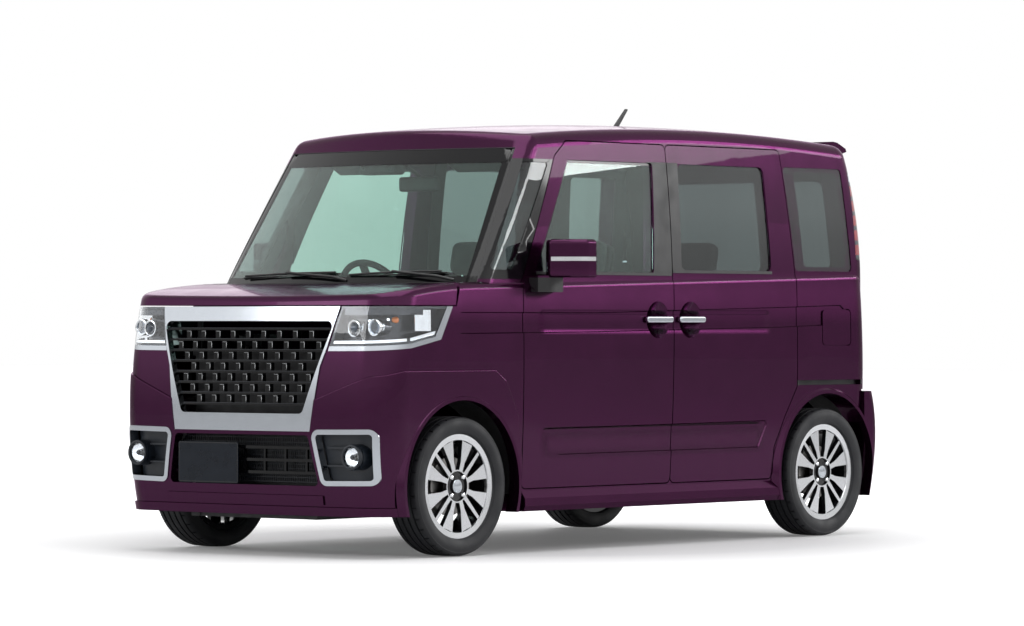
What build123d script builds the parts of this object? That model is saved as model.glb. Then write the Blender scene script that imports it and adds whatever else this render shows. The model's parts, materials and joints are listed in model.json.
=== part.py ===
"""Kei car with sliding rear doors: hollow body shell, closures, running gear and cabin.

Millimetres.  +Z up, forward is -Y, the car's left is +X, and the origin is on the ground
below the middle of the car.
"""
from build123d import *
import math
import os
import time

os.makedirs("parts", exist_ok=True)

# ---------------------------------------------------------------- driving dimensions
LENGTH = 3395
WIDTH = 1475
WHEELBASE = 2460
FRONT_OVERHANG = 527.5
TRACK = 1290
SKIRT_BOTTOM = 168
FLARE_PROUD = 8
HOOD_FILLET = 40
CROWN_FILLET = 72
SHUT_GAP = 5
SEAT_GAP = 0.3
DOOR_DEPTH = 60
SKIN_DEPTH = 26
BUMPER_DEPTH = 34
ROOF_DEPTH = 34
FRAME_DEPTH = 90
LAMP_DEPTH = 90
GLASS_FLUSH = 3
GLASS_THICK = 4.5
BEAD_DEPTH = 6

NOSE = -LENGTH / 2
TAIL = LENGTH / 2
HALF = WIDTH / 2
FRONT_AXLE = NOSE + FRONT_OVERHANG
REAR_AXLE = FRONT_AXLE + WHEELBASE

# tyre 165/55R15 on a 15 inch rim
TYRE_RADIUS = 280
TYRE_WIDTH = 165
BEAD_RADIUS = 192
RIM_FLANGE = 209
AXLE_HEIGHT = TYRE_RADIUS
WHEEL_X = TRACK / 2
ARCH_RADIUS = 345
FLARE_LAND = 360
FLARE_ROOT = 384

# flanks: a shallow bulge along the whole car, widest at this height
SIDE_BULGE_RADIUS = 8700
SIDE_BULGE_HEIGHT = 800
# nose: an upright bulge turned about an axis far behind it, which bows it in plan
NOSE_BULGE_RADIUS = 2150
NOSE_BULGE_HEIGHT = 540
NOSE_PLAN_RADIUS = 6035
NOSE_CORNER = 165
# tail of the lower body and of the greenhouse, bowed in plan in the same way
TAIL_SETBACK = 24
TAIL_BULGE_RADIUS = 7900
TAIL_BULGE_HEIGHT = 600
TAIL_PLAN_RADIUS = 19000
TAIL_CORNER = 150
# side view of the lower body's top: the bonnet's arc runs on into the straight belt
NOSE_HEIGHT = 1018
BELT_START = 600
BELT_FRONT_HEIGHT = 1106
BELT_REAR_HEIGHT = 1170

# greenhouse: a crowned section turned about an axis below the road, which crowns the roof lengthways
GLASS_BULGE_RADIUS = 6180
GLASS_BULGE_HEIGHT = 837
GLASS_TUCK = 14
ROOF_HEIGHT = 1787
ROOF_CROWN = 45
ROOF_LENGTH_RADIUS = 13900
ROOF_PEAK = 500
# windshield: part of a cylinder that leans back along the pillars
SCREEN_SETBACK = 497
SCREEN_HEIGHT = 1040
SCREEN_SLOPE = 0.668
SCREEN_RADIUS = 2634
PILLAR_CORNER = 90
BACK_SETBACK = 44
BACK_BULGE_RADIUS = 1750
BACK_BULGE_HEIGHT = 1220
BACK_CORNER = 120

OUT = HALF + 60
AHEAD = NOSE - 100
BEHIND = TAIL + 100
hulls = {}
lower_forms = {}
upper_forms = {}
began = time.time()


# ---------------------------------------------------------------- master forms
def bulged(distance, radius, middle, height, inset):
    """How far out a circular bulge stands at a height, its whole surface moved in by the inset."""
    return distance - radius + math.sqrt((radius - inset) ** 2 - (height - middle) ** 2)


def end_block(distance, radius, middle, low, high, plan_radius, inset, facing):
    """A block whose end, bulged in side view and bowed in plan, faces -Y (-1) or +Y (1)."""
    swing = math.degrees(1.6 * WIDTH / plan_radius)
    axis = Axis((0, facing * (distance - plan_radius), 0), (0, 0, 1))
    edge = [facing * bulged(distance, radius, middle, height, inset) for height in (low, middle, high)]
    back = facing * (distance - 0.8 * plan_radius)
    with BuildPart() as block:
        with BuildSketch(Plane.YZ):
            with BuildLine():
                ThreePointArc((edge[0], low), (edge[1], middle), (edge[2], high))
                Polyline((edge[2], high), (back, high), (back, low), (edge[0], low))
            make_face()
        revolve(axis=axis, revolution_arc=2 * swing)
    return block.part.rotate(axis, -swing)


def upright_edges(shape, front):
    """The tall edges at the shape's front or rear corners."""
    tall = [edge for edge in shape.edges() if abs((edge @ 1 - edge @ 0).Z) > 200 and abs((edge @ 0.5).X) > 500]
    return [edge for edge in tall if ((edge @ 0.5).Y < 0) == front]


def lower_body(inset):
    """The lower body's volume, its whole surface moved in by the inset."""
    low, high = SKIRT_BOTTOM, 1260
    side = [bulged(HALF, SIDE_BULGE_RADIUS, SIDE_BULGE_HEIGHT, height, inset)
            for height in (low, SIDE_BULGE_HEIGHT, high)]
    belt_start = (NOSE + BELT_START, BELT_FRONT_HEIGHT - inset)
    belt_end = (BEHIND, BELT_REAR_HEIGHT - inset)
    with BuildPart() as lower:
        with BuildSketch(Plane.XZ.offset(-LENGTH)):
            with BuildLine():
                ThreePointArc((side[0], low), (side[1], SIDE_BULGE_HEIGHT), (side[2], high))
                Line((side[2], high), (-side[2], high))
                ThreePointArc((-side[2], high), (-side[1], SIDE_BULGE_HEIGHT), (-side[0], low))
                Line((-side[0], low), (side[0], low))
            make_face()
        extrude(amount=2 * LENGTH)
        add(end_block(-NOSE, NOSE_BULGE_RADIUS, NOSE_BULGE_HEIGHT, 100, 1300, NOSE_PLAN_RADIUS, inset, -1),
            mode=Mode.INTERSECT)
        add(end_block(TAIL - TAIL_SETBACK, TAIL_BULGE_RADIUS, TAIL_BULGE_HEIGHT, 100, 1300,
                      TAIL_PLAN_RADIUS, inset, 1), mode=Mode.INTERSECT)
        with BuildSketch(Plane.YZ.offset(-WIDTH)):
            with BuildLine():
                belt = Line(belt_end, belt_start)
                bonnet_line = TangentArc(belt_start, (NOSE - 60, NOSE_HEIGHT - inset), tangent=belt % 1)
                Polyline(bonnet_line @ 1, (NOSE - 60, 0), (BEHIND, 0), belt_end)
            make_face()
        extrude(amount=2 * WIDTH, mode=Mode.INTERSECT)
        fillet(upright_edges(lower, True), max(NOSE_CORNER - inset, 20))
        fillet(upright_edges(lower, False), max(TAIL_CORNER - inset, 20))
        tops = lower.faces().filter_by(lambda face: face.normal_at().Z > 0.8)
        below = [face for face in lower.faces() if face.normal_at().Z <= 0.8]
        rim = [edge for edge in tops.edges() if any(edge in face.edges() for face in below)]
        fillet(rim, max(HOOD_FILLET - inset, 8))
    return lower.part


def upper_body(inset):
    """The greenhouse's volume, its whole surface moved in by the inset."""
    crown_radius = (HALF ** 2 + ROOF_CROWN ** 2) / (2 * ROOF_CROWN) - inset

    def side(height):
        return bulged(HALF - GLASS_TUCK, GLASS_BULGE_RADIUS, GLASS_BULGE_HEIGHT, height, inset)
    top = ROOF_HEIGHT - inset
    edge_height = top - crown_radius + math.sqrt(crown_radius ** 2 - side(1740) ** 2)
    edge = (side(edge_height), edge_height)
    roof_axis = Axis((0, ROOF_PEAK, ROOF_HEIGHT - ROOF_LENGTH_RADIUS), (1, 0, 0))
    with BuildPart() as crowned:
        with BuildSketch(Plane.XZ.offset(-ROOF_PEAK)):
            with BuildLine():
                Line((-side(860), 860), (side(860), 860))
                ThreePointArc((side(860), 860), (side(1300), 1300), edge)
                ThreePointArc(edge, (0, top), (-edge[0], edge[1]))
                ThreePointArc((-edge[0], edge[1]), (-side(1300), 1300), (-side(860), 860))
            make_face()
        revolve(axis=roof_axis, revolution_arc=20)
    lean = math.atan(SCREEN_SLOPE)
    screen_plane = Plane(origin=(0, NOSE + SCREEN_SETBACK, SCREEN_HEIGHT), x_dir=(1, 0, 0),
                         z_dir=(0, math.sin(lean), math.cos(lean)))
    back = SCREEN_RADIUS - math.sqrt((SCREEN_RADIUS - inset) ** 2 - WIDTH ** 2 / 2.6)
    reach = WIDTH / math.sqrt(2.6)
    with BuildPart() as upper:
        add(crowned.part.rotate(roof_axis, -10))
        with BuildSketch(screen_plane.offset(-500)):
            with BuildLine():
                ThreePointArc((reach, back), (0, inset), (-reach, back))
                Polyline((-reach, back), (-reach, LENGTH), (reach, LENGTH), (reach, back))
            make_face()
        extrude(amount=LENGTH, mode=Mode.INTERSECT)
        add(end_block(TAIL - BACK_SETBACK, BACK_BULGE_RADIUS, BACK_BULGE_HEIGHT, 700, 1900,
                      TAIL_PLAN_RADIUS, inset, 1), mode=Mode.INTERSECT)
        fillet(upright_edges(upper, True), max(PILLAR_CORNER - inset, 20))
        fillet(upright_edges(upper, False), max(BACK_CORNER - inset, 20))
        fillet(upper.faces().sort_by(Axis.Z)[-1].edges(), max(CROWN_FILLET - inset, 15))
    return upper.part


# side view (Y, Z) and front view (X, Z) of the swelling round the front wheels and the bumper
SWELL_SIDE = [(AHEAD, 60), (AHEAD, 700), (-1600, 728), (-1420, 768), (-1190, 790), (-1010, 772),
              (-900, 700), (-822, 560), (-794, 400), (-794, 60)]
SWELL_FRONT = [(-OUT, 60), (-OUT, 752), (-700, 742), (-395, 632), (395, 632), (700, 742), (OUT, 752),
               (OUT, 60)]
SWELL_ROUND = 5
SWELL_ROOT = 24


def swelling():
    """The body's full width and length below the crease lines, with the crease rounded off."""
    with BuildPart() as swell:
        add(lower_body(0))
        with BuildSketch(Plane.YZ.offset(-OUT)):
            with BuildLine():
                Polyline(*SWELL_SIDE, close=True)
            make_face()
        extrude(amount=2 * OUT, mode=Mode.INTERSECT)
        with BuildSketch(Plane.XZ.offset(-LENGTH / 4)):
            with BuildLine():
                Polyline(*SWELL_FRONT, close=True)
            make_face()
        extrude(amount=LENGTH, mode=Mode.INTERSECT)
        ledges = [face for face in swell.faces() if face.normal_at().Z > 0.15 and face.center().Z > 450
                  and abs(face.normal_at().X) < 0.6]
        edges = [edge for face in ledges for edge in face.edges()]
        fillet([edge for edge in edges if sum(edge == other for other in edges) == 1], SWELL_ROUND)
    return swell.part


def arch_flare(axle):
    """A turned lip that stands out round one left wheel arch."""
    with BuildPart() as flare:
        with Locations((HALF - SWELL_ROOT / 2, axle, AXLE_HEIGHT)):
            Cone(FLARE_ROOT, FLARE_LAND, SWELL_ROOT, rotation=(0, 90, 0))
        with BuildSketch(Plane.XY.offset(SKIRT_BOTTOM)):
            with Locations((0, axle)):
                Rectangle(2 * OUT, 1000)
        extrude(amount=700, mode=Mode.INTERSECT)
    return flare.part


def lower_form(inset):
    """The lower body, with the flares on its outer surface; each inset is built once."""
    if inset not in lower_forms:
        with BuildPart() as lower:
            add(lower_body(FLARE_PROUD + inset))
            if inset == 0:
                add(swelling())
                for axle in (FRONT_AXLE, REAR_AXLE):
                    add(arch_flare(axle))
                    mirror(arch_flare(axle), about=Plane.YZ)
        lower_forms[inset] = lower.part
    return lower_forms[inset]


def upper_form(inset):
    """The greenhouse alone; each inset is built once."""
    if inset not in upper_forms:
        upper_forms[inset] = upper_body(inset)
    return upper_forms[inset]


def hull(inset):
    """The whole body's volume, its surface moved in by the inset; each is built once."""
    if inset not in hulls:
        with BuildPart() as whole:
            add(lower_form(inset))
            add(upper_form(inset))
        hulls[inset] = whole.part
    return hulls[inset]


def side_prism(points, inner, outer, radius=0, grow=0):
    """A side-view outline (Y, Z) drawn out along X between two distances from the middle."""
    with BuildPart() as prism:
        with BuildSketch(Plane.YZ.offset(inner)) as outline:
            with BuildLine():
                Polyline(*points, close=True)
            make_face()
            if radius:
                fillet(outline.vertices(), radius)
            if grow:
                offset(amount=grow, kind=Kind.INTERSECTION)
        extrude(amount=outer - inner)
    return prism.part


def front_prism(points, front, rear, radius=0, grow=0):
    """A front-view outline (X, Z) drawn out along Y from the front to the rear."""
    with BuildPart() as prism:
        with BuildSketch(Plane.XZ.offset(-rear)) as outline:
            with BuildLine():
                Polyline(*points, close=True)
            make_face()
            if radius:
                fillet(outline.vertices(), radius)
            if grow:
                offset(amount=grow, kind=Kind.INTERSECTION)
        extrude(amount=rear - front)
    return prism.part


def cut_away(shape, cuts):
    """The shape less each of the cuts."""
    with BuildPart() as rest:
        add(shape)
        for cut in cuts:
            add(cut, mode=Mode.SUBTRACT)
    return rest.part


def shared(shape, other):
    """What two shapes have in common."""
    with BuildPart() as common:
        add(shape)
        add(other, mode=Mode.INTERSECT)
    return common.part


def joined(*shapes):
    """Several shapes as one piece."""
    with BuildPart() as whole:
        for shape in shapes:
            add(shape)
    return whole.part


def panel(region, start, depth, cuts=(), form=None):
    """The body's wall inside a region, between two depths below the surface, less the cuts."""
    with BuildPart() as wall:
        add(region)
        add(form(start) if form else hull(start), mode=Mode.INTERSECT)
        add(form(depth) if form else hull(depth), mode=Mode.SUBTRACT)
        for cut in cuts:
            add(cut, mode=Mode.SUBTRACT)
    return wall.part


def mirrored(shape):
    """The same shape on the other side of the car."""
    with BuildPart() as other:
        mirror(shape, about=Plane.YZ)
    return other.part


def both_sides(shape):
    """The left shape and its mirror image as two solids of one piece."""
    return joined(shape, mirrored(shape))


def save(shape, name):
    """Label a finished piece and write its STEP file."""
    shape.label = name
    export_step(shape, "parts/" + name + ".step")
    print(f"{name:22s} valid {shape.is_valid} solids {len(shape.solids())} {time.time() - began:6.1f} s")


def save_both(shape, name):
    """Write the left piece and its mirror image as two pieces."""
    save(shape, name + "_left")
    save(mirrored(shape), name + "_right")


# ---------------------------------------------------------------- outlines of the openings
DOOR_BOTTOM = 262
DOOR_TOP = 1684
FRONT_DOOR_EDGE = FRONT_AXLE + 387
BELT_CORNER = 1100
PILLAR_TOP = (FRONT_AXLE + 655, 1622)
PILLAR_BOTTOM_GAP = 190
PILLAR_TOP_GAP = 216
REAR_DOOR_EDGE = 1072
DOOR_CORNER = 24

FRONT_DOOR = [
    (FRONT_DOOR_EDGE, DOOR_BOTTOM), (FRONT_DOOR_EDGE, BELT_CORNER), PILLAR_TOP,
    (PILLAR_TOP[0] + 84, DOOR_TOP), (PILLAR_TOP_GAP, DOOR_TOP), (PILLAR_BOTTOM_GAP, DOOR_BOTTOM),
]
SLIDING_DOOR = [
    (PILLAR_BOTTOM_GAP + SHUT_GAP, DOOR_BOTTOM), (PILLAR_TOP_GAP + SHUT_GAP, DOOR_TOP),
    (REAR_DOOR_EDGE - 52, DOOR_TOP), (REAR_DOOR_EDGE, 1140), (REAR_DOOR_EDGE, 660),
    (REAR_DOOR_EDGE - 86, 530), (REAR_DOOR_EDGE - 158, 400), (REAR_DOOR_EDGE - 170, DOOR_BOTTOM),
]
WINDOW_TOP = 1607
WINDOW_BOTTOM = 1145
FRONT_WINDOW = [
    (-690, WINDOW_BOTTOM), (-668, 1190), (-437, WINDOW_TOP), (122, WINDOW_TOP), (84, WINDOW_BOTTOM),
]
SLIDING_WINDOW = [
    (272, WINDOW_BOTTOM + 12), (292, WINDOW_TOP), (894, WINDOW_TOP), (905, WINDOW_BOTTOM + 12),
]
QUARTER_PANE = [(-974, 1150), (-841, 1150), (-563, 1592), (-708, 1592)]
REAR_QUARTER = [(1080, 1160), (1036, 1612), (1470, 1612), (1498, 1160)]
QUARTER_OPENING = [(1150, 1178), (1118, 1594), (1440, 1594), (1462, 1178)]
SCREEN_BOTTOM = 1097
SCREEN_TOP = 1652
SCREEN = [(-690, SCREEN_BOTTOM), (690, SCREEN_BOTTOM), (614, SCREEN_TOP), (-614, SCREEN_TOP)]
ROOF_JOINT = 614

CHROME_TOP = 1000
HOOD_EDGE = CHROME_TOP + SHUT_GAP
LAMP_SIDE = [(-1240, CHROME_TOP), (-1309, 884), (-1480, 852), (-1800, 832), (-1800, CHROME_TOP)]
LAMP_STRIP = [(-1226, CHROME_TOP), (-1300, 868), (-1478, 834), (-1800, 813), (-1800, CHROME_TOP)]
LAMP_FRONT = [(484, CHROME_TOP), (443, 822), (443, 800), (OUT, 800), (OUT, CHROME_TOP)]
STRIP_DEPTH = 14
LENS_THICK = 3

GRILLE_FRAME = [(-482, CHROME_TOP), (482, CHROME_TOP), (441, 838), (412, 762), (372, 503),
                (-372, 503), (-412, 762), (-441, 838)]
GRILLE_OPENING = [(-466, 942), (466, 942), (330, 573), (-330, 573)]
LOWER_OPENING = [(-362, 488), (362, 488), (409, 287), (-409, 287)]
FOG_OUTLINE = [(377, 511), (686, 515), (682, 292), (424, 288)]
FOG_RIM = 20
FOG_LAMP = (587, 404)
FOG_RADIUS = 40

# pressed beads along the side: outlines in side view, all pressed to the same depth
UPPER_BEAD = [(-1206, 884), (-1188, 984), (-300, 984), (980, 1010), (1400, 1020), (1470, 968),
              (1400, 921), (980, 908), (-300, 890)]
LOWER_BEAD = [(-708, 512), (-560, 382), (812, 386), (884, 522)]
# handle cups and their bars: middle of the cup in side view
HANDLES = [("front_door", 96), ("sliding_door", 318)]
HANDLE_HEIGHT = 948
CUP_RADIUS = 62
CUP_STRETCH = 96
CUP_DEEP = 34
BAR_LENGTH = 176
BAR_TALL = 26
BAR_THICK = 15


# ---------------------------------------------------------------- body openings as solids
def arch(axle, radius, inner=380):
    """The round space of a wheel arch on the left side."""
    with BuildPart() as space:
        with BuildSketch(Plane.YZ.offset(inner)):
            with Locations((axle, AXLE_HEIGHT)):
                Circle(radius)
        extrude(amount=OUT - inner)
    return space.part


def pressed(outline):
    """What a bead presses out of the skin on the left side: sloping edges, even depth."""
    with BuildPart() as bead:
        with BuildSketch(Plane.YZ.offset(HALF)) as mouth:
            with BuildLine():
                Polyline(*outline, close=True)
            make_face()
            fillet(mouth.vertices(), 20)
        with BuildSketch(Plane.YZ.offset(HALF - 40)) as bottom:
            with BuildLine():
                Polyline(*outline, close=True)
            make_face()
            offset(amount=-26, kind=Kind.INTERSECTION)
            fillet(bottom.vertices(), 8)
        loft()
    return cut_away(bead.part, [hull(BEAD_DEPTH)])


def handle_cup(middle):
    """The rounded hollow behind a door handle."""
    with BuildPart() as cup:
        with BuildSketch(Plane.YZ.offset(HALF - 100)):
            with Locations((middle, HANDLE_HEIGHT)):
                Rectangle(4 * CUP_RADIUS, 4 * CUP_RADIUS)
        extrude(amount=140)
        with Locations((HALF - FLARE_PROUD + 68, middle, HANDLE_HEIGHT)):
            Sphere(CUP_RADIUS + 42, mode=Mode.INTERSECT)
    return cup.part


def handle_bar(middle):
    """A pull bar across the cup, its ends sunk in the door skin."""
    with BuildPart() as bar:
        with BuildSketch(Plane.YZ.offset(HALF - FLARE_PROUD - 8)):
            with Locations((middle, HANDLE_HEIGHT)):
                SlotOverall(BAR_LENGTH, BAR_TALL)
        extrude(amount=BAR_THICK + 8)
        fillet(bar.faces().sort_by(Axis.X)[-1].edges(), 6)
    return bar.part


front_arch = arch(FRONT_AXLE, ARCH_RADIUS)
rear_arch = arch(REAR_AXLE, ARCH_RADIUS)
front_door_solid = side_prism(FRONT_DOOR, 300, OUT, DOOR_CORNER)
front_door_gap = side_prism(FRONT_DOOR, 300, OUT, DOOR_CORNER, SHUT_GAP)
sliding_door_solid = side_prism(SLIDING_DOOR, 300, OUT, DOOR_CORNER)
sliding_door_gap = side_prism(SLIDING_DOOR, 300, OUT, DOOR_CORNER, SHUT_GAP)
front_window = side_prism(FRONT_WINDOW, 300, OUT, 16)
sliding_window = side_prism(SLIDING_WINDOW, 300, OUT, 30)
quarter_pane = side_prism(QUARTER_PANE, 300, OUT, 10)
rear_quarter = side_prism(REAR_QUARTER, 300, OUT, 22)
lamp_front = front_prism(LAMP_FRONT, -1800, -1000)
lamp_space = shared(side_prism(LAMP_SIDE, 300, OUT), lamp_front)
strip_space = shared(side_prism(LAMP_STRIP, 300, OUT), lamp_front)
upper_bead = pressed(UPPER_BEAD)
lower_bead = pressed(LOWER_BEAD)
print(f"outlines {time.time() - began:6.1f} s")

TAILGATE_EDGE = 598
TAILGATE_BOTTOM = 640
TAILGATE_TOP = 1562
BUMPER_TOP = 632
TAIL_LAMP = [(604, 1212), (604, 1610), (690, 1610), (716, 1212)]
FUEL_LID = [(1261, 838), (1261, 990), (1466, 990), (1466, 838)]
RAIL_SLOT = [(REAR_DOOR_EDGE + SHUT_GAP + 4, 662), (REAR_DOOR_EDGE + SHUT_GAP + 4, 684), (1549, 684), (1549, 662)]

# ---------------------------------------------------------------- roof spoiler
SPOILER_HALF = 560
with BuildPart() as spoiler:
    with BuildSketch(Plane.YZ.offset(-SPOILER_HALF)):
        with BuildLine():
            Polyline((TAILGATE_TOP + 6, 1660), (TAILGATE_TOP + 6, 1741), (1600, 1737), (1662, 1712),
                     (1669, 1698), (1640, 1690), (1592, 1660), close=True)
        make_face()
    extrude(amount=2 * SPOILER_HALF)
    add(hull(0), mode=Mode.SUBTRACT)
save(spoiler.part, "spoiler")

# ---------------------------------------------------------------- side frames
frame_region = side_prism(
    [(-1120, SCREEN_BOTTOM), (FRONT_DOOR_EDGE - SHUT_GAP, SCREEN_BOTTOM),
     (FRONT_DOOR_EDGE - SHUT_GAP, SKIRT_BOTTOM), (1560, SKIRT_BOTTOM), (1560, BUMPER_TOP + 8),
     (1700, BUMPER_TOP + 8), (1700, 1850), (-1120, 1850)], 300, OUT)
flank = front_prism(
    [(ROOF_JOINT, 1900), (ROOF_JOINT, SCREEN_TOP), (690, SCREEN_BOTTOM), (500, SCREEN_BOTTOM),
     (500, 100), (OUT, 100), (OUT, 1900)], -1150, -700)
middle_flank = front_prism(
    [(ROOF_JOINT, 1900), (ROOF_JOINT, 1600), (500, 1600), (500, 100), (OUT, 100), (OUT, 1900)],
    -700, 1500)
rear_flank = front_prism(
    [(ROOF_JOINT, 1900), (ROOF_JOINT, SCREEN_TOP), (TAILGATE_EDGE + SHUT_GAP, 1645),
     (TAILGATE_EDGE + SHUT_GAP, 100), (OUT, 100), (OUT, 1900)], 1500, 1720)
rail_flank = front_prism(
    [(500, 1600), (500, 1760), (ROOF_JOINT, 1760), (ROOF_JOINT, 1600)], -640, 1500)
frame_side = shared(joined(flank, middle_flank, rear_flank), frame_region)
door_rebates = cut_away(joined(front_door_gap, sliding_door_gap), [hull(DOOR_DEPTH + SHUT_GAP)])
quarter_rebate = cut_away(rear_quarter, [hull(GLASS_FLUSH + GLASS_THICK)])
# rubber buffers and strikers on the flange, just clear of each door's inner face
BUFFERS = [(-770, 420), (-770, 900), (160, 720), (160, 1000), (234, 720), (234, 1000), (1048, 800)]
with BuildPart() as buffer_blocks:
    for y, z in BUFFERS:
        with Locations((600, y, z)):
            Box(200, 18, 48)
buffers = panel(buffer_blocks.part, DOOR_DEPTH + SEAT_GAP, FRAME_DEPTH)
pillar_block = side_prism(
    [(-812, SKIRT_BOTTOM), (-812, 1060), (FRONT_DOOR_EDGE - SHUT_GAP, 1060),
     (FRONT_DOOR_EDGE - SHUT_GAP, SKIRT_BOTTOM)], 500, OUT)
hinge_pillar = panel(pillar_block, BUMPER_DEPTH, FRAME_DEPTH, [arch(FRONT_AXLE, ARCH_RADIUS + 11)])
# sill skirt between the wheel arches
SKIRT_SECTION = [(650, SKIRT_BOTTOM), (724, SKIRT_BOTTOM), (735, 190), (733, 222), (712, 252), (650, 252)]
skirt = cut_away(front_prism(SKIRT_SECTION, -784, 944), [hull(BEAD_DEPTH)])
rail_slot = cut_away(side_prism(RAIL_SLOT, 300, OUT), [hull(SKIN_DEPTH)])
lid_seat = cut_away(side_prism(FUEL_LID, 300, OUT, 18, SHUT_GAP), [hull(GLASS_FLUSH + GLASS_THICK + SEAT_GAP)])
with BuildPart() as side_frame:
    add(panel(frame_side, 0, FRAME_DEPTH))
    add(panel(rail_flank, ROOF_DEPTH, FRAME_DEPTH))
    add(quarter_pane, mode=Mode.SUBTRACT)
    add(side_prism(QUARTER_OPENING, 300, OUT, 22), mode=Mode.SUBTRACT)
    add(quarter_rebate, mode=Mode.SUBTRACT)
    add(door_rebates, mode=Mode.SUBTRACT)
    add(side_prism(FRONT_DOOR, 300, OUT, DOOR_CORNER, -36), mode=Mode.SUBTRACT)
    add(side_prism(SLIDING_DOOR, 300, OUT, DOOR_CORNER, -36), mode=Mode.SUBTRACT)
    add(front_prism(TAIL_LAMP, 1535, 1720), mode=Mode.SUBTRACT)
    add(upper_bead, mode=Mode.SUBTRACT)
    add(hinge_pillar)
    add(skirt)
    add(rear_arch, mode=Mode.SUBTRACT)
    add(buffers)
    add(rail_slot, mode=Mode.SUBTRACT)
frame_right = mirrored(side_frame.part)
save(cut_away(side_frame.part, [lid_seat]), "side_frame_left")
save(frame_right, "side_frame_right")
save(panel(side_prism(FUEL_LID, 300, OUT, 18), 0, GLASS_FLUSH + GLASS_THICK), "fuel_lid")

# ---------------------------------------------------------------- roof
roof_region = front_prism(
    [(-ROOF_JOINT, SCREEN_TOP), (ROOF_JOINT, SCREEN_TOP), (ROOF_JOINT, 1900), (-ROOF_JOINT, 1900)],
    -1300, TAILGATE_TOP - SHUT_GAP)
save(panel(roof_region, 0, ROOF_DEPTH, form=upper_form), "roof")

# ---------------------------------------------------------------- glazing fixed to the body
# the pane steps in at its top corners, where the side frames run straight back under the roof
PANE_TOP = [(616, 1636), (613.5, 1639), (613.5, SCREEN_TOP)]
screen_pane = SCREEN[:2] + PANE_TOP + [(-x, z) for x, z in reversed(PANE_TOP)]
screen_region = front_prism(screen_pane, -1300, -600, 0, -SEAT_GAP)
windshield = panel(screen_region, GLASS_FLUSH, GLASS_FLUSH + GLASS_THICK, form=upper_form)
save(windshield, "windshield")
front_quarter_glass = panel(quarter_pane, GLASS_FLUSH, GLASS_FLUSH + GLASS_THICK)
rear_quarter_glass = panel(rear_quarter, GLASS_FLUSH, GLASS_FLUSH + GLASS_THICK,
                           [front_prism(TAIL_LAMP, 1535, 1720)])
save(both_sides(joined(front_quarter_glass, rear_quarter_glass)), "quarter_glass")

# ---------------------------------------------------------------- doors
DOORS = [
    ("front_door", front_door_solid, front_window, HANDLES[0][1]),
    ("sliding_door", sliding_door_solid, sliding_window, HANDLES[1][1]),
]
glass_of = {}
for name, region, window, handle_place in DOORS:
    cuts = [window, upper_bead, lower_bead, handle_cup(handle_place), front_arch, rear_arch]
    door = panel(region, 0, DOOR_DEPTH, cuts)
    save_both(joined(door, handle_bar(handle_place)), name)
    glass_of[name] = panel(window, GLASS_FLUSH + GLASS_THICK, GLASS_FLUSH + 2 * GLASS_THICK)
save_both(glass_of["front_door"], "front_door_glass")
save(both_sides(glass_of["sliding_door"]), "sliding_door_glass")

# ---------------------------------------------------------------- bonnet, cowl and fenders
bonnet_region = side_prism(
    [(-1750, HOOD_EDGE), (-1207, HOOD_EDGE), (-1178, 1200), (-1750, 1200)], -OUT, OUT)
bonnet = panel(bonnet_region, 0, SKIN_DEPTH)
save(bonnet, "bonnet")
cowl_region = side_prism(
    [(-1172, 1000), (-1172, SCREEN_BOTTOM - SEAT_GAP), (-900, SCREEN_BOTTOM - SEAT_GAP), (-900, 1000)],
    -640, 640)
cowl = panel(cowl_region, 0, SKIN_DEPTH)
save(cowl, "cowl")
fender_region = side_prism(
    [(-1376, 168), (-1376, 565), (-1406, 581), (-1459, 650), (-1442, 740), (-1430, 860),
     (-1309, 868), (-1240, HOOD_EDGE - SHUT_GAP), (-1202, HOOD_EDGE - SHUT_GAP), (-1173, SCREEN_BOTTOM - 1),
     (FRONT_DOOR_EDGE - SHUT_GAP, SCREEN_BOTTOM - 1), (FRONT_DOOR_EDGE - SHUT_GAP, 168)],
    640, OUT)
fender = panel(fender_region, 0, SKIN_DEPTH, [front_arch, strip_space, upper_bead])
save_both(fender, "fender")

# ---------------------------------------------------------------- front bumper
bumper_region = side_prism(
    [(-1800, 100), (-1376, 100), (-1376, 565), (-1406, 581), (-1459, 650), (-1442, 740),
     (-1430, 860), (-1430, CHROME_TOP), (-1800, CHROME_TOP)], 0, OUT)
bumper_region = cut_away(bumper_region, [
    strip_space, front_prism(GRILLE_FRAME, -1800, -1500), front_prism(LOWER_OPENING, -1800, -1500, 20),
    front_prism(FOG_OUTLINE, -1800, -1450, 34), front_arch])
bumper_skin = panel(bumper_region, 0, BUMPER_DEPTH, form=lower_form)
# lip along the bottom, which steps up towards the middle
LIP_REACH = 17
lip_end = [(-1800, SKIRT_BOTTOM), (-1376, SKIRT_BOTTOM), (-1376, 200), (-1800, 204)]
step_end = [(-1800, 212), (-1500, 212), (-1500, 246), (-1800, 250)]
lip = panel(side_prism(lip_end, 0, OUT), FLARE_PROUD - LIP_REACH, BUMPER_DEPTH, [front_arch], lower_body)
step_lip = panel(side_prism(step_end, 0, 428), FLARE_PROUD - LIP_REACH + 2, BUMPER_DEPTH, form=lower_body)
half_bumper = joined(bumper_skin, lip, step_lip)
save(joined(half_bumper, mirrored(half_bumper)), "front_bumper")

# ---------------------------------------------------------------- grille, lower grille, fog lamps
grille_opening = front_prism(GRILLE_OPENING, -1800, -1500, 26)
surround_region = front_prism(GRILLE_FRAME, -1800, -1500)
surround = panel(surround_region, FLARE_PROUD - 5, BUMPER_DEPTH, [grille_opening], form=lower_body)
# bright strip that runs on from the surround below each headlamp and round its tip
lamp_strip = panel(cut_away(strip_space, [lamp_space]), 0, STRIP_DEPTH, form=lower_form)
save(joined(surround, lamp_strip, mirrored(lamp_strip)), "grille_surround")


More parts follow.
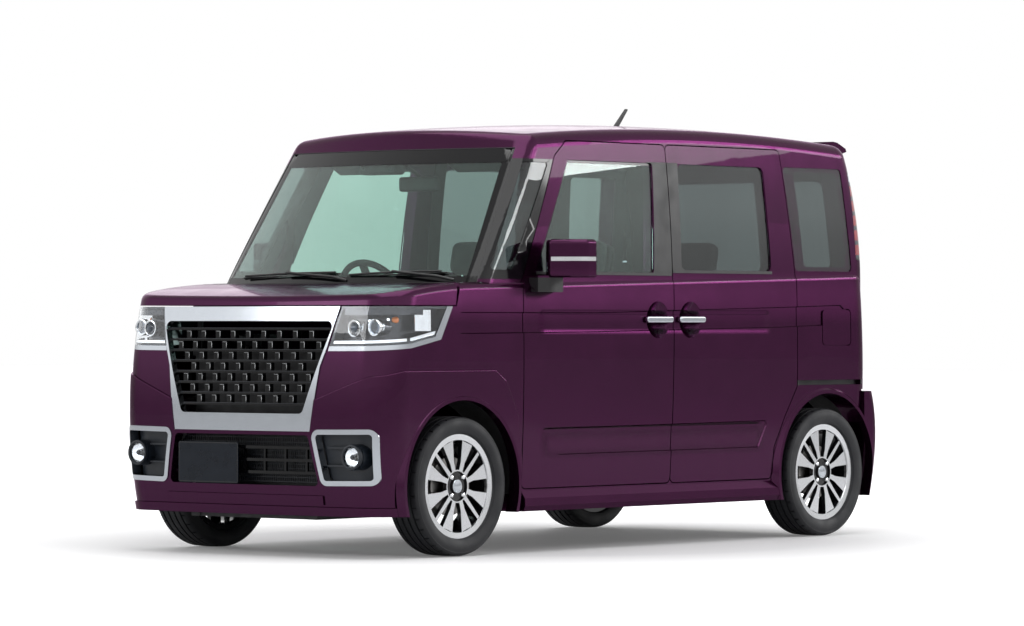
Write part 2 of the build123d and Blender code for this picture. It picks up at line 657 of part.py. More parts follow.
def nose_at(height):
    """How far forward the nose reaches in the middle of the car at a height."""
    return -bulged(-NOSE, NOSE_BULGE_RADIUS, NOSE_BULGE_HEIGHT, height, FLARE_PROUD)


def bow_at(place):
    """How far the nose falls back at a distance from the middle."""
    return NOSE_PLAN_RADIUS - math.sqrt(NOSE_PLAN_RADIUS ** 2 - place ** 2)


def opening_half(corners, height):
    """Half the width of a four-cornered opening at a height."""
    (low_x, low_z), (high_x, high_z) = corners
    return low_x + (high_x - low_x) * (height - low_z) / (high_z - low_z)


def bowed_bar(reach, height, tall, deep, thick):
    """A horizontal bar that follows the nose's bow from side to side."""
    front = nose_at(height) + deep
    back = bow_at(reach)
    with BuildPart() as bar:
        with BuildSketch(Plane.XY.offset(height - tall / 2)):
            with BuildLine():
                ThreePointArc((-reach, front + back), (0, front), (reach, front + back))
                Line((reach, front + back), (reach, front + back + thick))
                ThreePointArc((reach, front + back + thick), (0, front + thick), (-reach, front + back + thick))
                Line((-reach, front + back + thick), (-reach, front + back))
            make_face()
        extrude(amount=tall)
    return bar.part


GRILLE_CORNERS = [(330, 573), (466, 942)]
LOWER_CORNERS = [(409, 287), (362, 488)]
GRILLE_PITCH = 43
GRILLE_BAR = 9
GRILLE_THICK = 22
TOOTH_PITCH = 84
TOOTH_WIDE = 26
TOOTH_DEEP = 20
LOWER_BARS = [337, 387, 437]
LOWER_BAR = 12
LOWER_BAR_DEEP = 14
# upper grille: bowed bars, with teeth set behind them in staggered columns
with BuildPart() as grilles:
    rows = [942 - GRILLE_PITCH * (row + 0.75) for row in range(8)]
    for row, (height, below) in enumerate(zip(rows, rows[1:])):
        edge = opening_half(GRILLE_CORNERS, below) - TOOTH_WIDE
        shift = TOOTH_PITCH / 2 if row % 2 else 0
        places = [column * TOOTH_PITCH + shift for column in range(-6, 6)]
        with BuildSketch(Plane.XY.offset(below)):
            for place in places:
                if abs(place) < edge:
                    with Locations((place, nose_at(below) + bow_at(place) + 22 + TOOTH_DEEP / 2)):
                        Rectangle(TOOTH_WIDE, TOOTH_DEEP)
        extrude(amount=height - below)
    for height in rows:
        reach = min(opening_half(GRILLE_CORNERS, height + up) for up in (-GRILLE_BAR / 2, GRILLE_BAR / 2))
        add(bowed_bar(reach - SEAT_GAP, height, GRILLE_BAR, 12, GRILLE_THICK))
    for height in LOWER_BARS:
        reach = min(opening_half(LOWER_CORNERS, height + up) for up in (-LOWER_BAR / 2, LOWER_BAR / 2))
        add(bowed_bar(reach - SEAT_GAP, height, LOWER_BAR, LOWER_BAR_DEEP, 20))
    with BuildSketch(Plane.XY.offset(331)):
        for place in range(-330, 331, 110):
            with Locations((place, nose_at(387) + bow_at(place) + 26)):
                Rectangle(8, 12)
    extrude(amount=112)
save(grilles.part, "grilles")

fog_outline = front_prism(FOG_OUTLINE, -1800, -1450, 34)
fog_inner = front_prism(FOG_OUTLINE, -1800, -1450, 34, -FOG_RIM)
fog_bezel = panel(fog_outline, FLARE_PROUD - 12, BUMPER_DEPTH, [fog_inner], form=lower_body)
save(both_sides(fog_bezel), "fog_bezels")
FOG_FRONT = -1668
with BuildPart() as fog_body:
    add(panel(fog_inner, BUMPER_DEPTH, BUMPER_DEPTH + 8, form=lower_form))
    with BuildSketch(Plane.XZ.offset(-FOG_FRONT - 6)):
        with Locations(FOG_LAMP):
            Circle(FOG_RADIUS + 12)
            Circle(FOG_RADIUS, mode=Mode.SUBTRACT)
    extrude(amount=-70)
    with BuildSketch(Plane.XZ.offset(-FOG_FRONT - 16)):
        with Locations(FOG_LAMP):
            Circle(FOG_RADIUS)
    extrude(amount=-60)
    for height in (368, 440):
        with Locations((488, -1640, height)):
            Box(96, 30, 7)
save(both_sides(fog_body.part), "fog_lamps")

# ---------------------------------------------------------------- headlamps
lens = panel(lamp_space, 0, LENS_THICK, form=lower_form)
save(both_sides(lens), "headlamp_lenses")
lamp_cavity = panel(side_prism(LAMP_SIDE, 300, OUT, 0, -10), LENS_THICK - 2, LAMP_DEPTH - 34, [], lower_form)
lamp_cavity = shared(lamp_cavity, front_prism(LAMP_FRONT, -1800, -1000, 0, -10))
PROJECTORS = [(560, -1588, 912), (633, -1555, 914)]
with BuildPart() as headlamp:
    add(panel(lamp_space, LENS_THICK + SEAT_GAP, LAMP_DEPTH, form=lower_form))
    add(lamp_cavity, mode=Mode.SUBTRACT)
    for x, y, z in PROJECTORS:
        with Locations((x, y, z)):
            Cylinder(30, 60, rotation=(90, 0, 0))
            Sphere(24)
save(both_sides(headlamp.part), "headlamps")

# ---------------------------------------------------------------- rear bumper, tailgate, tail lamps
REAR_BUMPER_SECTIONS = [
    # height, side tuck, tail set-back, corner radius
    (SKIRT_BOTTOM, 14, 30, 55),
    (330, 6, 3, 60),
    (500, 1, 0, 65),
    (BUMPER_TOP, 1, 12, 90),
]


def plan_outline(height, half, rear, radius):
    """Closed plan outline of the tail at a height, its rear end bowed and its corners rounded."""
    bow = TAIL_PLAN_RADIUS - math.sqrt(TAIL_PLAN_RADIUS ** 2 - half ** 2)
    with BuildSketch(Plane.XY.offset(height)) as outline:
        with BuildLine():
            Polyline((half, rear - bow), (half, 1100), (-half, 1100), (-half, rear - bow))
            ThreePointArc((half, rear - bow), (0, rear), (-half, rear - bow))
        make_face()
        fillet(outline.vertices().sort_by(Axis.Y)[-2:], radius)
    return outline.sketch


def rear_bumper_form(inset):
    """The rear bumper's volume, which stands proud of the body above it."""
    with BuildPart() as form:
        loft([plan_outline(height, HALF - tuck - inset, TAIL - tail - inset, radius - inset / 2)
              for height, tuck, tail, radius in REAR_BUMPER_SECTIONS])
    return form.part


rear_region = side_prism([(1560 + SEAT_GAP, 100), (1560 + SEAT_GAP, BUMPER_TOP), (1800, BUMPER_TOP), (1800, 100)],
                         -OUT, OUT)
rear_recess = front_prism([(-300, 250), (300, 250), (320, 330), (-320, 330)], 1500, 1800, 12)
rear_recess = cut_away(rear_recess, [rear_bumper_form(14)])
rear_bumper = panel(rear_region, 0, BUMPER_DEPTH, [rear_arch, mirrored(rear_arch), rear_recess],
                    form=rear_bumper_form)
save(rear_bumper, "rear_bumper")

TAILGATE_WINDOW = [(-535, 1165), (535, 1165), (505, 1565), (-505, 1565)]
tailgate_window = front_prism(TAILGATE_WINDOW, 1450, 1800, 50)
tailgate_region = side_prism(
    [(1480, TAILGATE_BOTTOM), (1480, 1640), (TAILGATE_TOP, 1640), (TAILGATE_TOP, 1900),
     (1800, 1900), (1800, TAILGATE_BOTTOM)], -TAILGATE_EDGE, TAILGATE_EDGE)
# a shallow pressed field round the plain number-plate place, with the pull handle above it
plate_field = cut_away(front_prism([(-260, 770), (260, 770), (290, 1010), (-290, 1010)], 1450, 1800, 24),
                       [hull(BUMPER_DEPTH)])
plate_field = cut_away(plate_field, [front_prism([(-330, 700), (330, 700), (330, 1100), (-330, 1100)], 1440, 1610)])
HINGE_HEIGHT = 1736.5
HINGE_RADIUS = SHUT_GAP / 2 - SEAT_GAP
with BuildPart() as tailgate:
    add(panel(tailgate_region, 0, DOOR_DEPTH, [tailgate_window]))
    for x in (-70, 70):
        with BuildSketch(Plane.YZ.offset(x - 30)):
            with Locations((TAILGATE_TOP - SHUT_GAP / 2, HINGE_HEIGHT)):
                Circle(HINGE_RADIUS)
            Polygon((TAILGATE_TOP - SHUT_GAP / 2, HINGE_HEIGHT + 2), (TAILGATE_TOP + 5, HINGE_HEIGHT - 4),
                    (TAILGATE_TOP + 5, HINGE_HEIGHT - 18), (TAILGATE_TOP + 0.3, HINGE_HEIGHT - 18),
                    (TAILGATE_TOP - SHUT_GAP / 2, HINGE_HEIGHT - 2), align=None)
        extrude(amount=60)
save(tailgate.part, "tailgate")
tailgate_glass = panel(tailgate_window, GLASS_FLUSH, GLASS_FLUSH + GLASS_THICK)
save(tailgate_glass, "tailgate_glass")
tail_lamp = panel(front_prism(TAIL_LAMP, 1535, 1720), 0, DOOR_DEPTH)
save(both_sides(tail_lamp), "tail_lamps")

# ---------------------------------------------------------------- arch liners, floor, bulkhead
LINER_GAP = 3
LINER_THICK = 5
FLOOR_HEIGHT = 262
FLOOR_THICK = 30
FLOOR_UNDER = FLOOR_HEIGHT - FLOOR_THICK - SEAT_GAP
LOAD_FLOOR = 470


def arch_liner(axle, inner, limit, front_low, rear_low):
    """A thin half-round shell over one left wheel, kept inside the panel's inner face."""
    with BuildPart() as liner:
        with BuildSketch(Plane.YZ.offset(inner)):
            with Locations((axle, AXLE_HEIGHT)):
                Circle(ARCH_RADIUS + LINER_GAP + LINER_THICK)
                Circle(ARCH_RADIUS + LINER_GAP, mode=Mode.SUBTRACT)
            with Locations((axle - 250, AXLE_HEIGHT - 250 + front_low), (axle + 250, AXLE_HEIGHT - 250 + rear_low)):
                Rectangle(500, 500, mode=Mode.SUBTRACT)
        extrude(amount=OUT - inner)
        add(limit, mode=Mode.INTERSECT)
    return liner.part


with BuildPart() as arch_liners:
    add(arch_liner(FRONT_AXLE, 540, hull(BUMPER_DEPTH + SEAT_GAP), -60, -40))
    add(arch_liner(REAR_AXLE, 500, hull(FRAME_DEPTH + SEAT_GAP), -20, 60))
save(both_sides(arch_liners.part), "arch_liners")

with BuildPart() as floor_pan:
    with BuildSketch(Plane.YZ.offset(-WIDTH / 2)):
        with BuildLine():
            Polyline((-806, FLOOR_HEIGHT), (960, FLOOR_HEIGHT), (1010, LOAD_FLOOR), (1560, LOAD_FLOOR),
                     (1560, LOAD_FLOOR - FLOOR_THICK), (1034, LOAD_FLOOR - FLOOR_THICK),
                     (984, FLOOR_HEIGHT - FLOOR_THICK), (-806, FLOOR_HEIGHT - FLOOR_THICK), close=True)
        make_face()
    extrude(amount=WIDTH)
    add(hull(FRAME_DEPTH), mode=Mode.INTERSECT)
    liner_radius = ARCH_RADIUS + LINER_GAP + LINER_THICK + SEAT_GAP
    add(arch(REAR_AXLE, liner_radius), mode=Mode.SUBTRACT)
    add(mirrored(arch(REAR_AXLE, liner_radius)), mode=Mode.SUBTRACT)
save(floor_pan.part, "floor_pan")

BULKHEAD = -806
with BuildPart() as bulkhead:
    with BuildSketch(Plane.YZ.offset(-WIDTH / 2)):
        with BuildLine():
            Polyline((BULKHEAD, FLOOR_HEIGHT + SEAT_GAP), (BULKHEAD + 14, FLOOR_HEIGHT + SEAT_GAP),
                     (BULKHEAD + 14, 664), (-960, 680), (-1000, 1060), (-1014, 1060), (-974, 666),
                     (BULKHEAD, 650), close=True)
        make_face()
    extrude(amount=WIDTH)
    add(hull(FRAME_DEPTH), mode=Mode.INTERSECT)
save(bulkhead.part, "bulkhead")

# ---------------------------------------------------------------- cabin
WHEEL_CENTRE = (-330, -500, 1035)
COLUMN_TILT = 28
COLUMN_RADIUS = 22
BEARING_GAP = 0.3
column_plane = Plane(origin=WHEEL_CENTRE, x_dir=(1, 0, 0),
                     z_dir=(0, math.cos(math.radians(COLUMN_TILT)), math.sin(math.radians(COLUMN_TILT))))
with BuildPart() as dashboard:
    with BuildSketch(Plane.YZ.offset(-600)) as dash_side:
        with BuildLine():
            Polyline((-999.5, 1060), (-960, 1078), (-700, 1066), (-648, 1036), (-640, 960), (-668, 860),
                     (-690, 700), (-961.6, 700), close=True)
        make_face()
        fillet(dash_side.vertices().sort_by(Axis.Y)[-6:-1], 9)
    extrude(amount=1200)
    for place in (-490, 490):
        with Locations((place, -640, 990)):
            Box(130, 24, 62, mode=Mode.SUBTRACT)
    with Locations((0, -650, 965)):
        Box(190, 44, 130)
    with BuildSketch(column_plane.offset(-250)):
        Circle(COLUMN_RADIUS + BEARING_GAP)
    extrude(amount=240, mode=Mode.SUBTRACT)
save(dashboard.part, "dashboard")

with BuildPart() as steering_wheel:
    with BuildSketch(Plane.XZ.offset(0)) as rim_section:
        with Locations((173, 0)):
            Circle(14)
    revolve(axis=Axis.Z)
    with BuildSketch(Plane.XY.offset(-24)):
        Circle(64)
    extrude(amount=30, taper=12)
    for turn in (0, 90, 180):
        with BuildSketch(Plane.XY.offset(-8)):
            with Locations(Rot(0, 0, turn + 180) * Pos(110, 0, 0)):
                Rectangle(112, 34)
        extrude(amount=13)
    with BuildSketch(Plane.XY.offset(-20)):
        Circle(COLUMN_RADIUS)
    extrude(amount=-170)
save(column_plane.location * steering_wheel.part, "steering_wheel")


def seat(width, hip, place):
    """A seat: base, cushion, back and head rest in one closed solid."""
    with BuildPart() as chair:
        with BuildSketch(Plane.YZ.offset(place - width / 2)) as profile:
            with BuildLine():
                Polyline((hip - 430, 640), (hip - 60, 610), (hip + 60, 1110), (hip + 178, 1080),
                         (hip + 90, 560), (hip + 40, 500), (hip + 20, FLOOR_HEIGHT + SEAT_GAP),
                         (hip - 380, FLOOR_HEIGHT + SEAT_GAP), (hip - 400, 520), (hip - 440, 560), close=True)
            make_face()
        extrude(amount=width)
        fillet(chair.edges().filter_by(Axis.X).sort_by(Axis.Z)[-5:], 22)
        with BuildSketch(Plane.YZ.offset(place - 130)):
            with BuildLine():
                Polyline((hip + 66, 1130), (hip + 84, 1280), (hip + 104, 1296), (hip + 150, 1290),
                         (hip + 160, 1120), close=True)
            make_face()
        extrude(amount=260)
        for post in (-60, 60):
            with BuildSketch(Plane.XY.offset(1060)):
                with Locations((place + post, hip + 118)):
                    Circle(7)
            extrude(amount=90)
    return chair.part


with BuildPart() as front_seats:
    add(seat(490, 0, 300))
    add(seat(490, 0, -300))
save(front_seats.part, "front_seats")
with BuildPart() as rear_seats:
    add(seat(520, 790, 290))
    add(seat(520, 790, -290))
save(rear_seats.part, "rear_seats")

# ---------------------------------------------------------------- wheels and running gear
TREAD_HALF = 62
tyre_profile = [
    (56.7, BEAD_RADIUS + 0.3), (56.7, RIM_FLANGE + 0.3), (72, 214), (TYRE_WIDTH / 2, 243), (76, 266),
    (TREAD_HALF, TYRE_RADIUS), (-TREAD_HALF, TYRE_RADIUS), (-76, 266), (-TYRE_WIDTH / 2, 243),
    (-72, 214), (-56.7, RIM_FLANGE + 0.3), (-56.7, BEAD_RADIUS + 0.3), (-44, BEAD_RADIUS + 0.3),
    (-46, 208), (-70, 243), (-60, 264), (60, 264), (70, 243), (46, 208), (44, BEAD_RADIUS + 0.3),
]
rim_profile = [
    (-64, RIM_FLANGE), (-58, RIM_FLANGE), (-57, BEAD_RADIUS), (-20, 184), (20, 184), (57, BEAD_RADIUS),
    (58, RIM_FLANGE), (64, RIM_FLANGE), (62, 186), (48, 180), (-56, 180), (-62, 190),
]
BRAKE_RADIUS = 118
HUB_RADIUS = 20
SPOKE_FACE = 58
SPOKE_THICK = 20
PAIR_SPREAD = 19
CAP_RADIUS = 29


def turned(profile):
    """A closed half-section (along X, radius) turned round the X axis."""
    with BuildPart() as ring:
        with BuildSketch(Plane.XZ):
            with BuildLine():
                Polyline(*profile, close=True)
            make_face()
        revolve(axis=Axis.X)
    return ring.part


tyre = turned(tyre_profile)
# alloy wheel: a rim, four pairs of flared blades, thin spokes between them, hub, cap and disc
with BuildPart() as wheel:
    add(turned(rim_profile))
    with BuildSketch(Plane.YZ.offset(SPOKE_FACE - SPOKE_THICK)):
        for quarter in range(4):
            for lean in (-PAIR_SPREAD, PAIR_SPREAD):
                with Locations(Rot(0, 0, 90 * quarter + lean)):
                    Polygon((40, -9), (100, -12), (182, -34), (182, 30), (100, 12), (40, 9), align=None)
            with Locations(Rot(0, 0, 90 * quarter + 45)):
                Polygon((40, -10), (183, -7), (183, 7), (40, 10), align=None)
        Circle(66)
    extrude(amount=SPOKE_THICK)
    with BuildSketch(Plane.YZ.offset(SPOKE_FACE - 8)):
        Circle(60)
        Circle(CAP_RADIUS, mode=Mode.SUBTRACT)
    extrude(amount=10, mode=Mode.SUBTRACT)
    with BuildSketch(Plane.YZ.offset(6)):
        Circle(BRAKE_RADIUS)
    extrude(amount=12)
    with BuildSketch(Plane.YZ.offset(-44)):
        Circle(HUB_RADIUS)
    extrude(amount=90)

corners = [
    ("front_left", 1, FRONT_AXLE), ("front_right", -1, FRONT_AXLE),
    ("rear_left", 1, REAR_AXLE), ("rear_right", -1, REAR_AXLE),
]
for name, side, axle in corners:
    turn = Rot(0, 0, 0) if side > 0 else Rot(0, 0, 180)
    spot = Pos(side * WHEEL_X, axle, AXLE_HEIGHT)
    save(spot * turn * tyre, "tyre_" + name)
    save(spot * turn * wheel.part, "wheel_" + name)

BALL_JOINT = (592, 190)
ARM_TOP = 170
STRUT_TOP = (448, 860)
steer_lean = math.atan2(BALL_JOINT[0] - STRUT_TOP[0], STRUT_TOP[1] - BALL_JOINT[1])
strut_plane = Plane(origin=(BALL_JOINT[0], FRONT_AXLE, BALL_JOINT[1]), x_dir=(0, 1, 0),
                    z_dir=(-math.sin(steer_lean), 0, math.cos(steer_lean)))
with BuildPart() as knuckle:
    with BuildSketch(strut_plane.offset(-10)):
        Circle(24)
    extrude(amount=516)
    with BuildSketch(strut_plane.offset(-22)):
        Circle(9)
    extrude(amount=14)
    with BuildSketch(Plane.YZ.offset(WHEEL_X - 43)):
        with Locations((FRONT_AXLE, AXLE_HEIGHT)):
            Circle(52)
    extrude(amount=38)
    with BuildSketch(Plane.YZ.offset(WHEEL_X - 90)):
        with Locations((FRONT_AXLE, AXLE_HEIGHT)):
            Rectangle(70, 110)
    extrude(amount=48)
    with BuildSketch(Plane.YZ.offset(WHEEL_X - 48)):
        with Locations((FRONT_AXLE, AXLE_HEIGHT)):
            Circle(HUB_RADIUS + BEARING_GAP)
    extrude(amount=60, mode=Mode.SUBTRACT)
    with BuildSketch(strut_plane.offset(506)):
        Circle(11)
    extrude(amount=166)
save(knuckle.part, "knuckle_left")
save(mirrored(knuckle.part), "knuckle_right")

RAIL_TOP = 200
RAIL_OUT = 345
with BuildPart() as subframe:
    with BuildSketch(Plane.XY.offset(150)):
        with Locations((0, FRONT_AXLE)):
            Rectangle(840, 90)
        with Locations((0, -1570)):
            Rectangle(2 * RAIL_OUT, 70)
        for side in (1, -1):
            with Locations((side * (RAIL_OUT - 23), -1160)):
                Rectangle(46, 900)
    extrude(amount=RAIL_TOP - 150)
    for side in (1, -1):
        with BuildSketch(Plane.XY.offset(150)):
            Polygon((side * 400, FRONT_AXLE - 45), (side * 400, FRONT_AXLE + 45),
                    (side * BALL_JOINT[0], FRONT_AXLE + 16), (side * BALL_JOINT[0], FRONT_AXLE - 16), align=None)
        extrude(amount=16)
        with Locations((side * (RAIL_OUT - 23), -750, (150 + FLOOR_UNDER) / 2)):
            Box(46, 80, FLOOR_UNDER - 150)
    with BuildSketch(strut_plane.offset(-22 - SEAT_GAP)):
        Circle(12)
    extrude(amount=-12)
save(subframe.part, "front_subframe")

with BuildPart() as strut_tower:
    with BuildSketch(strut_plane.offset(672 + SEAT_GAP)):
        Circle(62)
    extrude(amount=26)
    with BuildSketch(Plane.XY.offset(862)):
        Polygon((398, FRONT_AXLE), (498, FRONT_AXLE), (498, -940), (398, -940), align=None)
    extrude(amount=24)
    with BuildSketch(Plane.YZ.offset(300)):
        with BuildLine():
            Polyline((-974 - SEAT_GAP, 650), (-1014 - SEAT_GAP, 1060), (-800, 1060), (-800, 650), close=True)
        make_face()
    extrude(amount=300, mode=Mode.SUBTRACT)
save(both_sides(strut_tower.part), "strut_towers")

with BuildPart() as rear_axle:
    with BuildSketch(Plane.YZ.offset(-560)):
        with Locations((REAR_AXLE, AXLE_HEIGHT - 6)):
            Circle(32)
    extrude(amount=1120)
    with BuildSketch(Plane.YZ.offset(WHEEL_X - 90)):
        with Locations((REAR_AXLE, AXLE_HEIGHT)):
            Circle(50)
    extrude(amount=85)
    with BuildSketch(Plane.YZ.offset(-WHEEL_X + 90)):
        with Locations((REAR_AXLE, AXLE_HEIGHT)):
            Circle(50)
    extrude(amount=-85)
    for side in (1, -1):
        with BuildSketch(Plane.YZ.offset(side * 460 - 20)):
            with BuildLine():
                Polyline((880, FLOOR_UNDER), (940, FLOOR_UNDER), (1000, 231), (REAR_AXLE, 262),
                         (REAR_AXLE, 232), (1000, 200), (880, 200), close=True)
            make_face()
        extrude(amount=40)
        with BuildSketch(Plane.XY.offset(AXLE_HEIGHT)):
            with Locations((side * 338, REAR_AXLE)):
                Circle(38)
        extrude(amount=LOAD_FLOOR - FLOOR_THICK - SEAT_GAP - AXLE_HEIGHT)
        with BuildSketch(Plane.YZ.offset(side * (WHEEL_X - 40) - 20)):
            with Locations((REAR_AXLE, AXLE_HEIGHT)):
                Circle(HUB_RADIUS + BEARING_GAP)
        extrude(amount=80, both=True, mode=Mode.SUBTRACT)
save(rear_axle.part, "rear_axle")

with BuildPart() as engine:
    with BuildSketch(Plane.XY.offset(RAIL_TOP + SEAT_GAP)):
        with Locations((0, -1290)):
            Rectangle(620, 400)
    extrude(amount=600)
save(engine.part, "engine_block")

with BuildPart() as radiator:
    with Locations((0, -1560, RAIL_TOP + SEAT_GAP + 305)):
        Box(700, 38, 610)
    with Locations((0, -1542, 812)):
        Box(860, 40, 24)
    for side in (1, -1):
        with BuildSketch(Plane.XY.offset(800)):
            Polygon((side * 400, -1562), (side * 430, -1522), (side * 690, -1385), (side * OUT, -1385),
                    (side * OUT, -1428), (side * 690, -1428), align=None)
        extrude(amount=24)
        with BuildSketch(Plane.XY.offset(800)):
            with Locations((side * 400, -1500)):
                Circle(12)
        extrude(amount=300)
        with Locations((side * 400, -1520, 812)):
            Box(40, 60, 24)
    add(hull(SKIN_DEPTH + SEAT_GAP), mode=Mode.INTERSECT)
save(radiator.part, "radiator")

with BuildPart() as fuel_tank:
    with BuildSketch(Plane.XY.offset(170)):
        with Locations((60, 500)):
            RectangleRounded(700, 520, 50)
    extrude(amount=FLOOR_UNDER - 170)
save(fuel_tank.part, "fuel_tank")
with BuildPart() as exhaust:
    with BuildLine() as route:
        FilletPolyline((-260, -1070, 236), (-260, -990, 170), (-260, -690, 165), (-360, -560, 150),
                       (-360, 1380, 150), (-330, 1500, 215), radius=50)
    with BuildSketch(Plane(origin=route.line @ 0, z_dir=route.line % 0)):
        Circle(22)
    sweep()
    with BuildSketch(Plane.XZ.offset(-1620)):
        with Locations((-300, 250)):
            Ellipse(150, 60)
    extrude(amount=150)
    for place in (-560, 60, 860):
        with Locations((-360, place, (150 + FLOOR_UNDER) / 2)):
            Box(20, 20, FLOOR_UNDER - 150)
    with Locations((-300, 1520, (250 + LOAD_FLOOR - FLOOR_THICK - SEAT_GAP) / 2)):
        Box(20, 20, LOAD_FLOOR - FLOOR_THICK - SEAT_GAP - 250)
save(exhaust.part, "exhaust")

# ---------------------------------------------------------------- mirrors, wipers, antenna, plate
MIRROR_TILT = 8
with BuildPart() as mirror_head:
    with BuildSketch(Plane.XY.offset(1119)):
        with BuildLine():
            Polyline((752, -676), (790, -702), (880, -668), (925, -612), (925, -556), (905, -540), (752, -566),
                     close=True)
        make_face()
    extrude(amount=156)
    fillet(mirror_head.edges().filter_by(Axis.Z), 20)
    fillet(mirror_head.faces().sort_by(Axis.Z)[-1].edges(), 18)
    fillet(mirror_head.faces().sort_by(Axis.Z)[0].edges(), 12)
    with BuildSketch(Plane.XY.offset(1060)):
        with BuildLine():
            Polyline((690, -735), (762, -735), (790, -690), (790, -610), (762, -590), (690, -590), close=True)
        make_face()
    extrude(amount=66)
    add(hull(0), mode=Mode.SUBTRACT)
save(mirror_head.part, "mirror_left")
save(mirrored(mirror_head.part), "mirror_right")

with BuildPart() as antenna:
    with BuildSketch(Plane.YZ.offset(-7)):
        with BuildLine():
            Polyline((740, 1760), (700, 1760), (712, 1800), (790, 1876), (796, 1872), (735, 1800), close=True)
        make_face()
    extrude(amount=14)
    add(hull(0), mode=Mode.SUBTRACT)
save(antenna.part, "antenna")
PLATE_CENTRE = (-170, 373)
PLATE_FRONT = NOSE + 1
PLATE_THICK = 3
BRACKET_HALF = 80
bracket_back = nose_at(LOWER_BARS[-1] + LOWER_BAR / 2) + LOWER_BAR_DEEP - SEAT_GAP
bracket_back += bow_at(PLATE_CENTRE[0] + BRACKET_HALF)
with BuildPart() as plate:
    with BuildSketch(Plane.XZ.offset(-PLATE_FRONT)):
        with Locations(PLATE_CENTRE):
            RectangleRounded(330, 165, 8)
    extrude(amount=-PLATE_THICK)
    with BuildSketch(Plane.XZ.offset(-PLATE_FRONT - PLATE_THICK)):
        with Locations(PLATE_CENTRE):
            Rectangle(2 * BRACKET_HALF, 130)
    extrude(amount=-(bracket_back - PLATE_FRONT - PLATE_THICK))
save(plate.part, "front_plate")
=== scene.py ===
import json
import math
import bpy
import bmesh
from mathutils import Matrix, Vector
from mathutils.bvhtree import BVHTree

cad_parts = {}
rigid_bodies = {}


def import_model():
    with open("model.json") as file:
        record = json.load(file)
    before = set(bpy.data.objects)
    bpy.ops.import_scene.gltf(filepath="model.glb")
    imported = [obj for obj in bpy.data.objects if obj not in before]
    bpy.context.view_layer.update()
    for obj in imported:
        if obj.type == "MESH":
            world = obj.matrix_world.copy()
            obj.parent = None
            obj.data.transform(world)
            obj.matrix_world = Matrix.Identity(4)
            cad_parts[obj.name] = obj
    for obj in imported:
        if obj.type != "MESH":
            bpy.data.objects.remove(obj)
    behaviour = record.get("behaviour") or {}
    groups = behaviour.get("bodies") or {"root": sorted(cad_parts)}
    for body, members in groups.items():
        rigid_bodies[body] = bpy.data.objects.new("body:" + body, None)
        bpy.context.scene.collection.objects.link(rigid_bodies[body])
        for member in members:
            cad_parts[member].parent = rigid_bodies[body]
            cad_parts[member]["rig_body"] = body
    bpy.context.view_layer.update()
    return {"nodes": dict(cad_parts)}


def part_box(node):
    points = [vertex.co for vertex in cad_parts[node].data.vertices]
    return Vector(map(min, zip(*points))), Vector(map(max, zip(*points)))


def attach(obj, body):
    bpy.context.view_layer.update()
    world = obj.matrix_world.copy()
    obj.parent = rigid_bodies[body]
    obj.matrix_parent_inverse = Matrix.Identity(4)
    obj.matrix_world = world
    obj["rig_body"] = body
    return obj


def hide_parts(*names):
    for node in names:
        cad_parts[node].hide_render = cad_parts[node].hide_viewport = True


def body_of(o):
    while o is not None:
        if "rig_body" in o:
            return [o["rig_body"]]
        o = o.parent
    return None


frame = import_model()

nodes = frame["nodes"]

# ---------------------------------------------------------------- shader effects


def effect(name, given, made=("Colour", "Roughness", "Height")):
    """A shader node group with named inputs and outputs, ready for its nodes."""
    tree = bpy.data.node_groups.new(name, "ShaderNodeTree")
    for label, value in given.items():
        kind = "NodeSocketColor" if isinstance(value, tuple) else "NodeSocketFloat"
        tree.interface.new_socket(name=label, in_out="INPUT", socket_type=kind).default_value = value
    for label in made:
        kind = "NodeSocketColor" if label == "Colour" else "NodeSocketFloat"
        tree.interface.new_socket(name=label, in_out="OUTPUT", socket_type=kind)
    start = tree.nodes.new("NodeGroupInput")
    end = tree.nodes.new("NodeGroupOutput")
    return tree, start.outputs, end.inputs


def feed(tree, socket, value):
    """Gives an input its value: another node's output, a colour or a number."""
    if isinstance(value, bpy.types.NodeSocket):
        tree.links.new(value, socket)
    else:
        socket.default_value = (*value, 1.0) if isinstance(value, tuple) and len(value) == 3 else value


def texture(tree, kind, place, **settings):
    """A noise, wave or cell texture at a place."""
    node = tree.nodes.new("ShaderNodeTex" + kind)
    tree.links.new(place, node.inputs["Vector"])
    for label, value in settings.items():
        if hasattr(node, label):
            setattr(node, label, value)
        else:
            feed(tree, node.inputs[label.replace("_", " ")], value)
    return node.outputs


def object_place(tree):
    return tree.nodes.new("ShaderNodeTexCoord").outputs["Object"]


def axes_of(tree, place):
    split = tree.nodes.new("ShaderNodeSeparateXYZ")
    tree.links.new(place, split.inputs[0])
    return split.outputs


def spread(tree, value, low, high, out_low, out_high):
    """Maps a value from one range to another; each end may be a socket."""
    node = tree.nodes.new("ShaderNodeMapRange")
    labels = ("Value", "From Min", "From Max", "To Min", "To Max")
    for label, given in zip(labels, (value, low, high, out_low, out_high)):
        feed(tree, node.inputs[label], given)
    return node.outputs["Result"]


# a Mix node's sockets when it mixes colours
MIX_SHARE, MIX_FIRST, MIX_SECOND, MIX_RESULT = 0, 6, 7, 2


def blend_colour(tree, share, first, second):
    """Mixes two colours by a share, which may be a socket."""
    node = tree.nodes.new("ShaderNodeMix")
    node.data_type = "RGBA"
    for index, value in ((MIX_SHARE, share), (MIX_FIRST, first), (MIX_SECOND, second)):
        feed(tree, node.inputs[index], value)
    return node.outputs[MIX_RESULT]


def shade(tree, colour, factor):
    """Darkens or lightens a colour by a factor socket."""
    node = tree.nodes.new("ShaderNodeVectorMath")
    node.operation = "SCALE"
    tree.links.new(colour, node.inputs[0])
    tree.links.new(factor, node.inputs["Scale"])
    return node.outputs["Vector"]


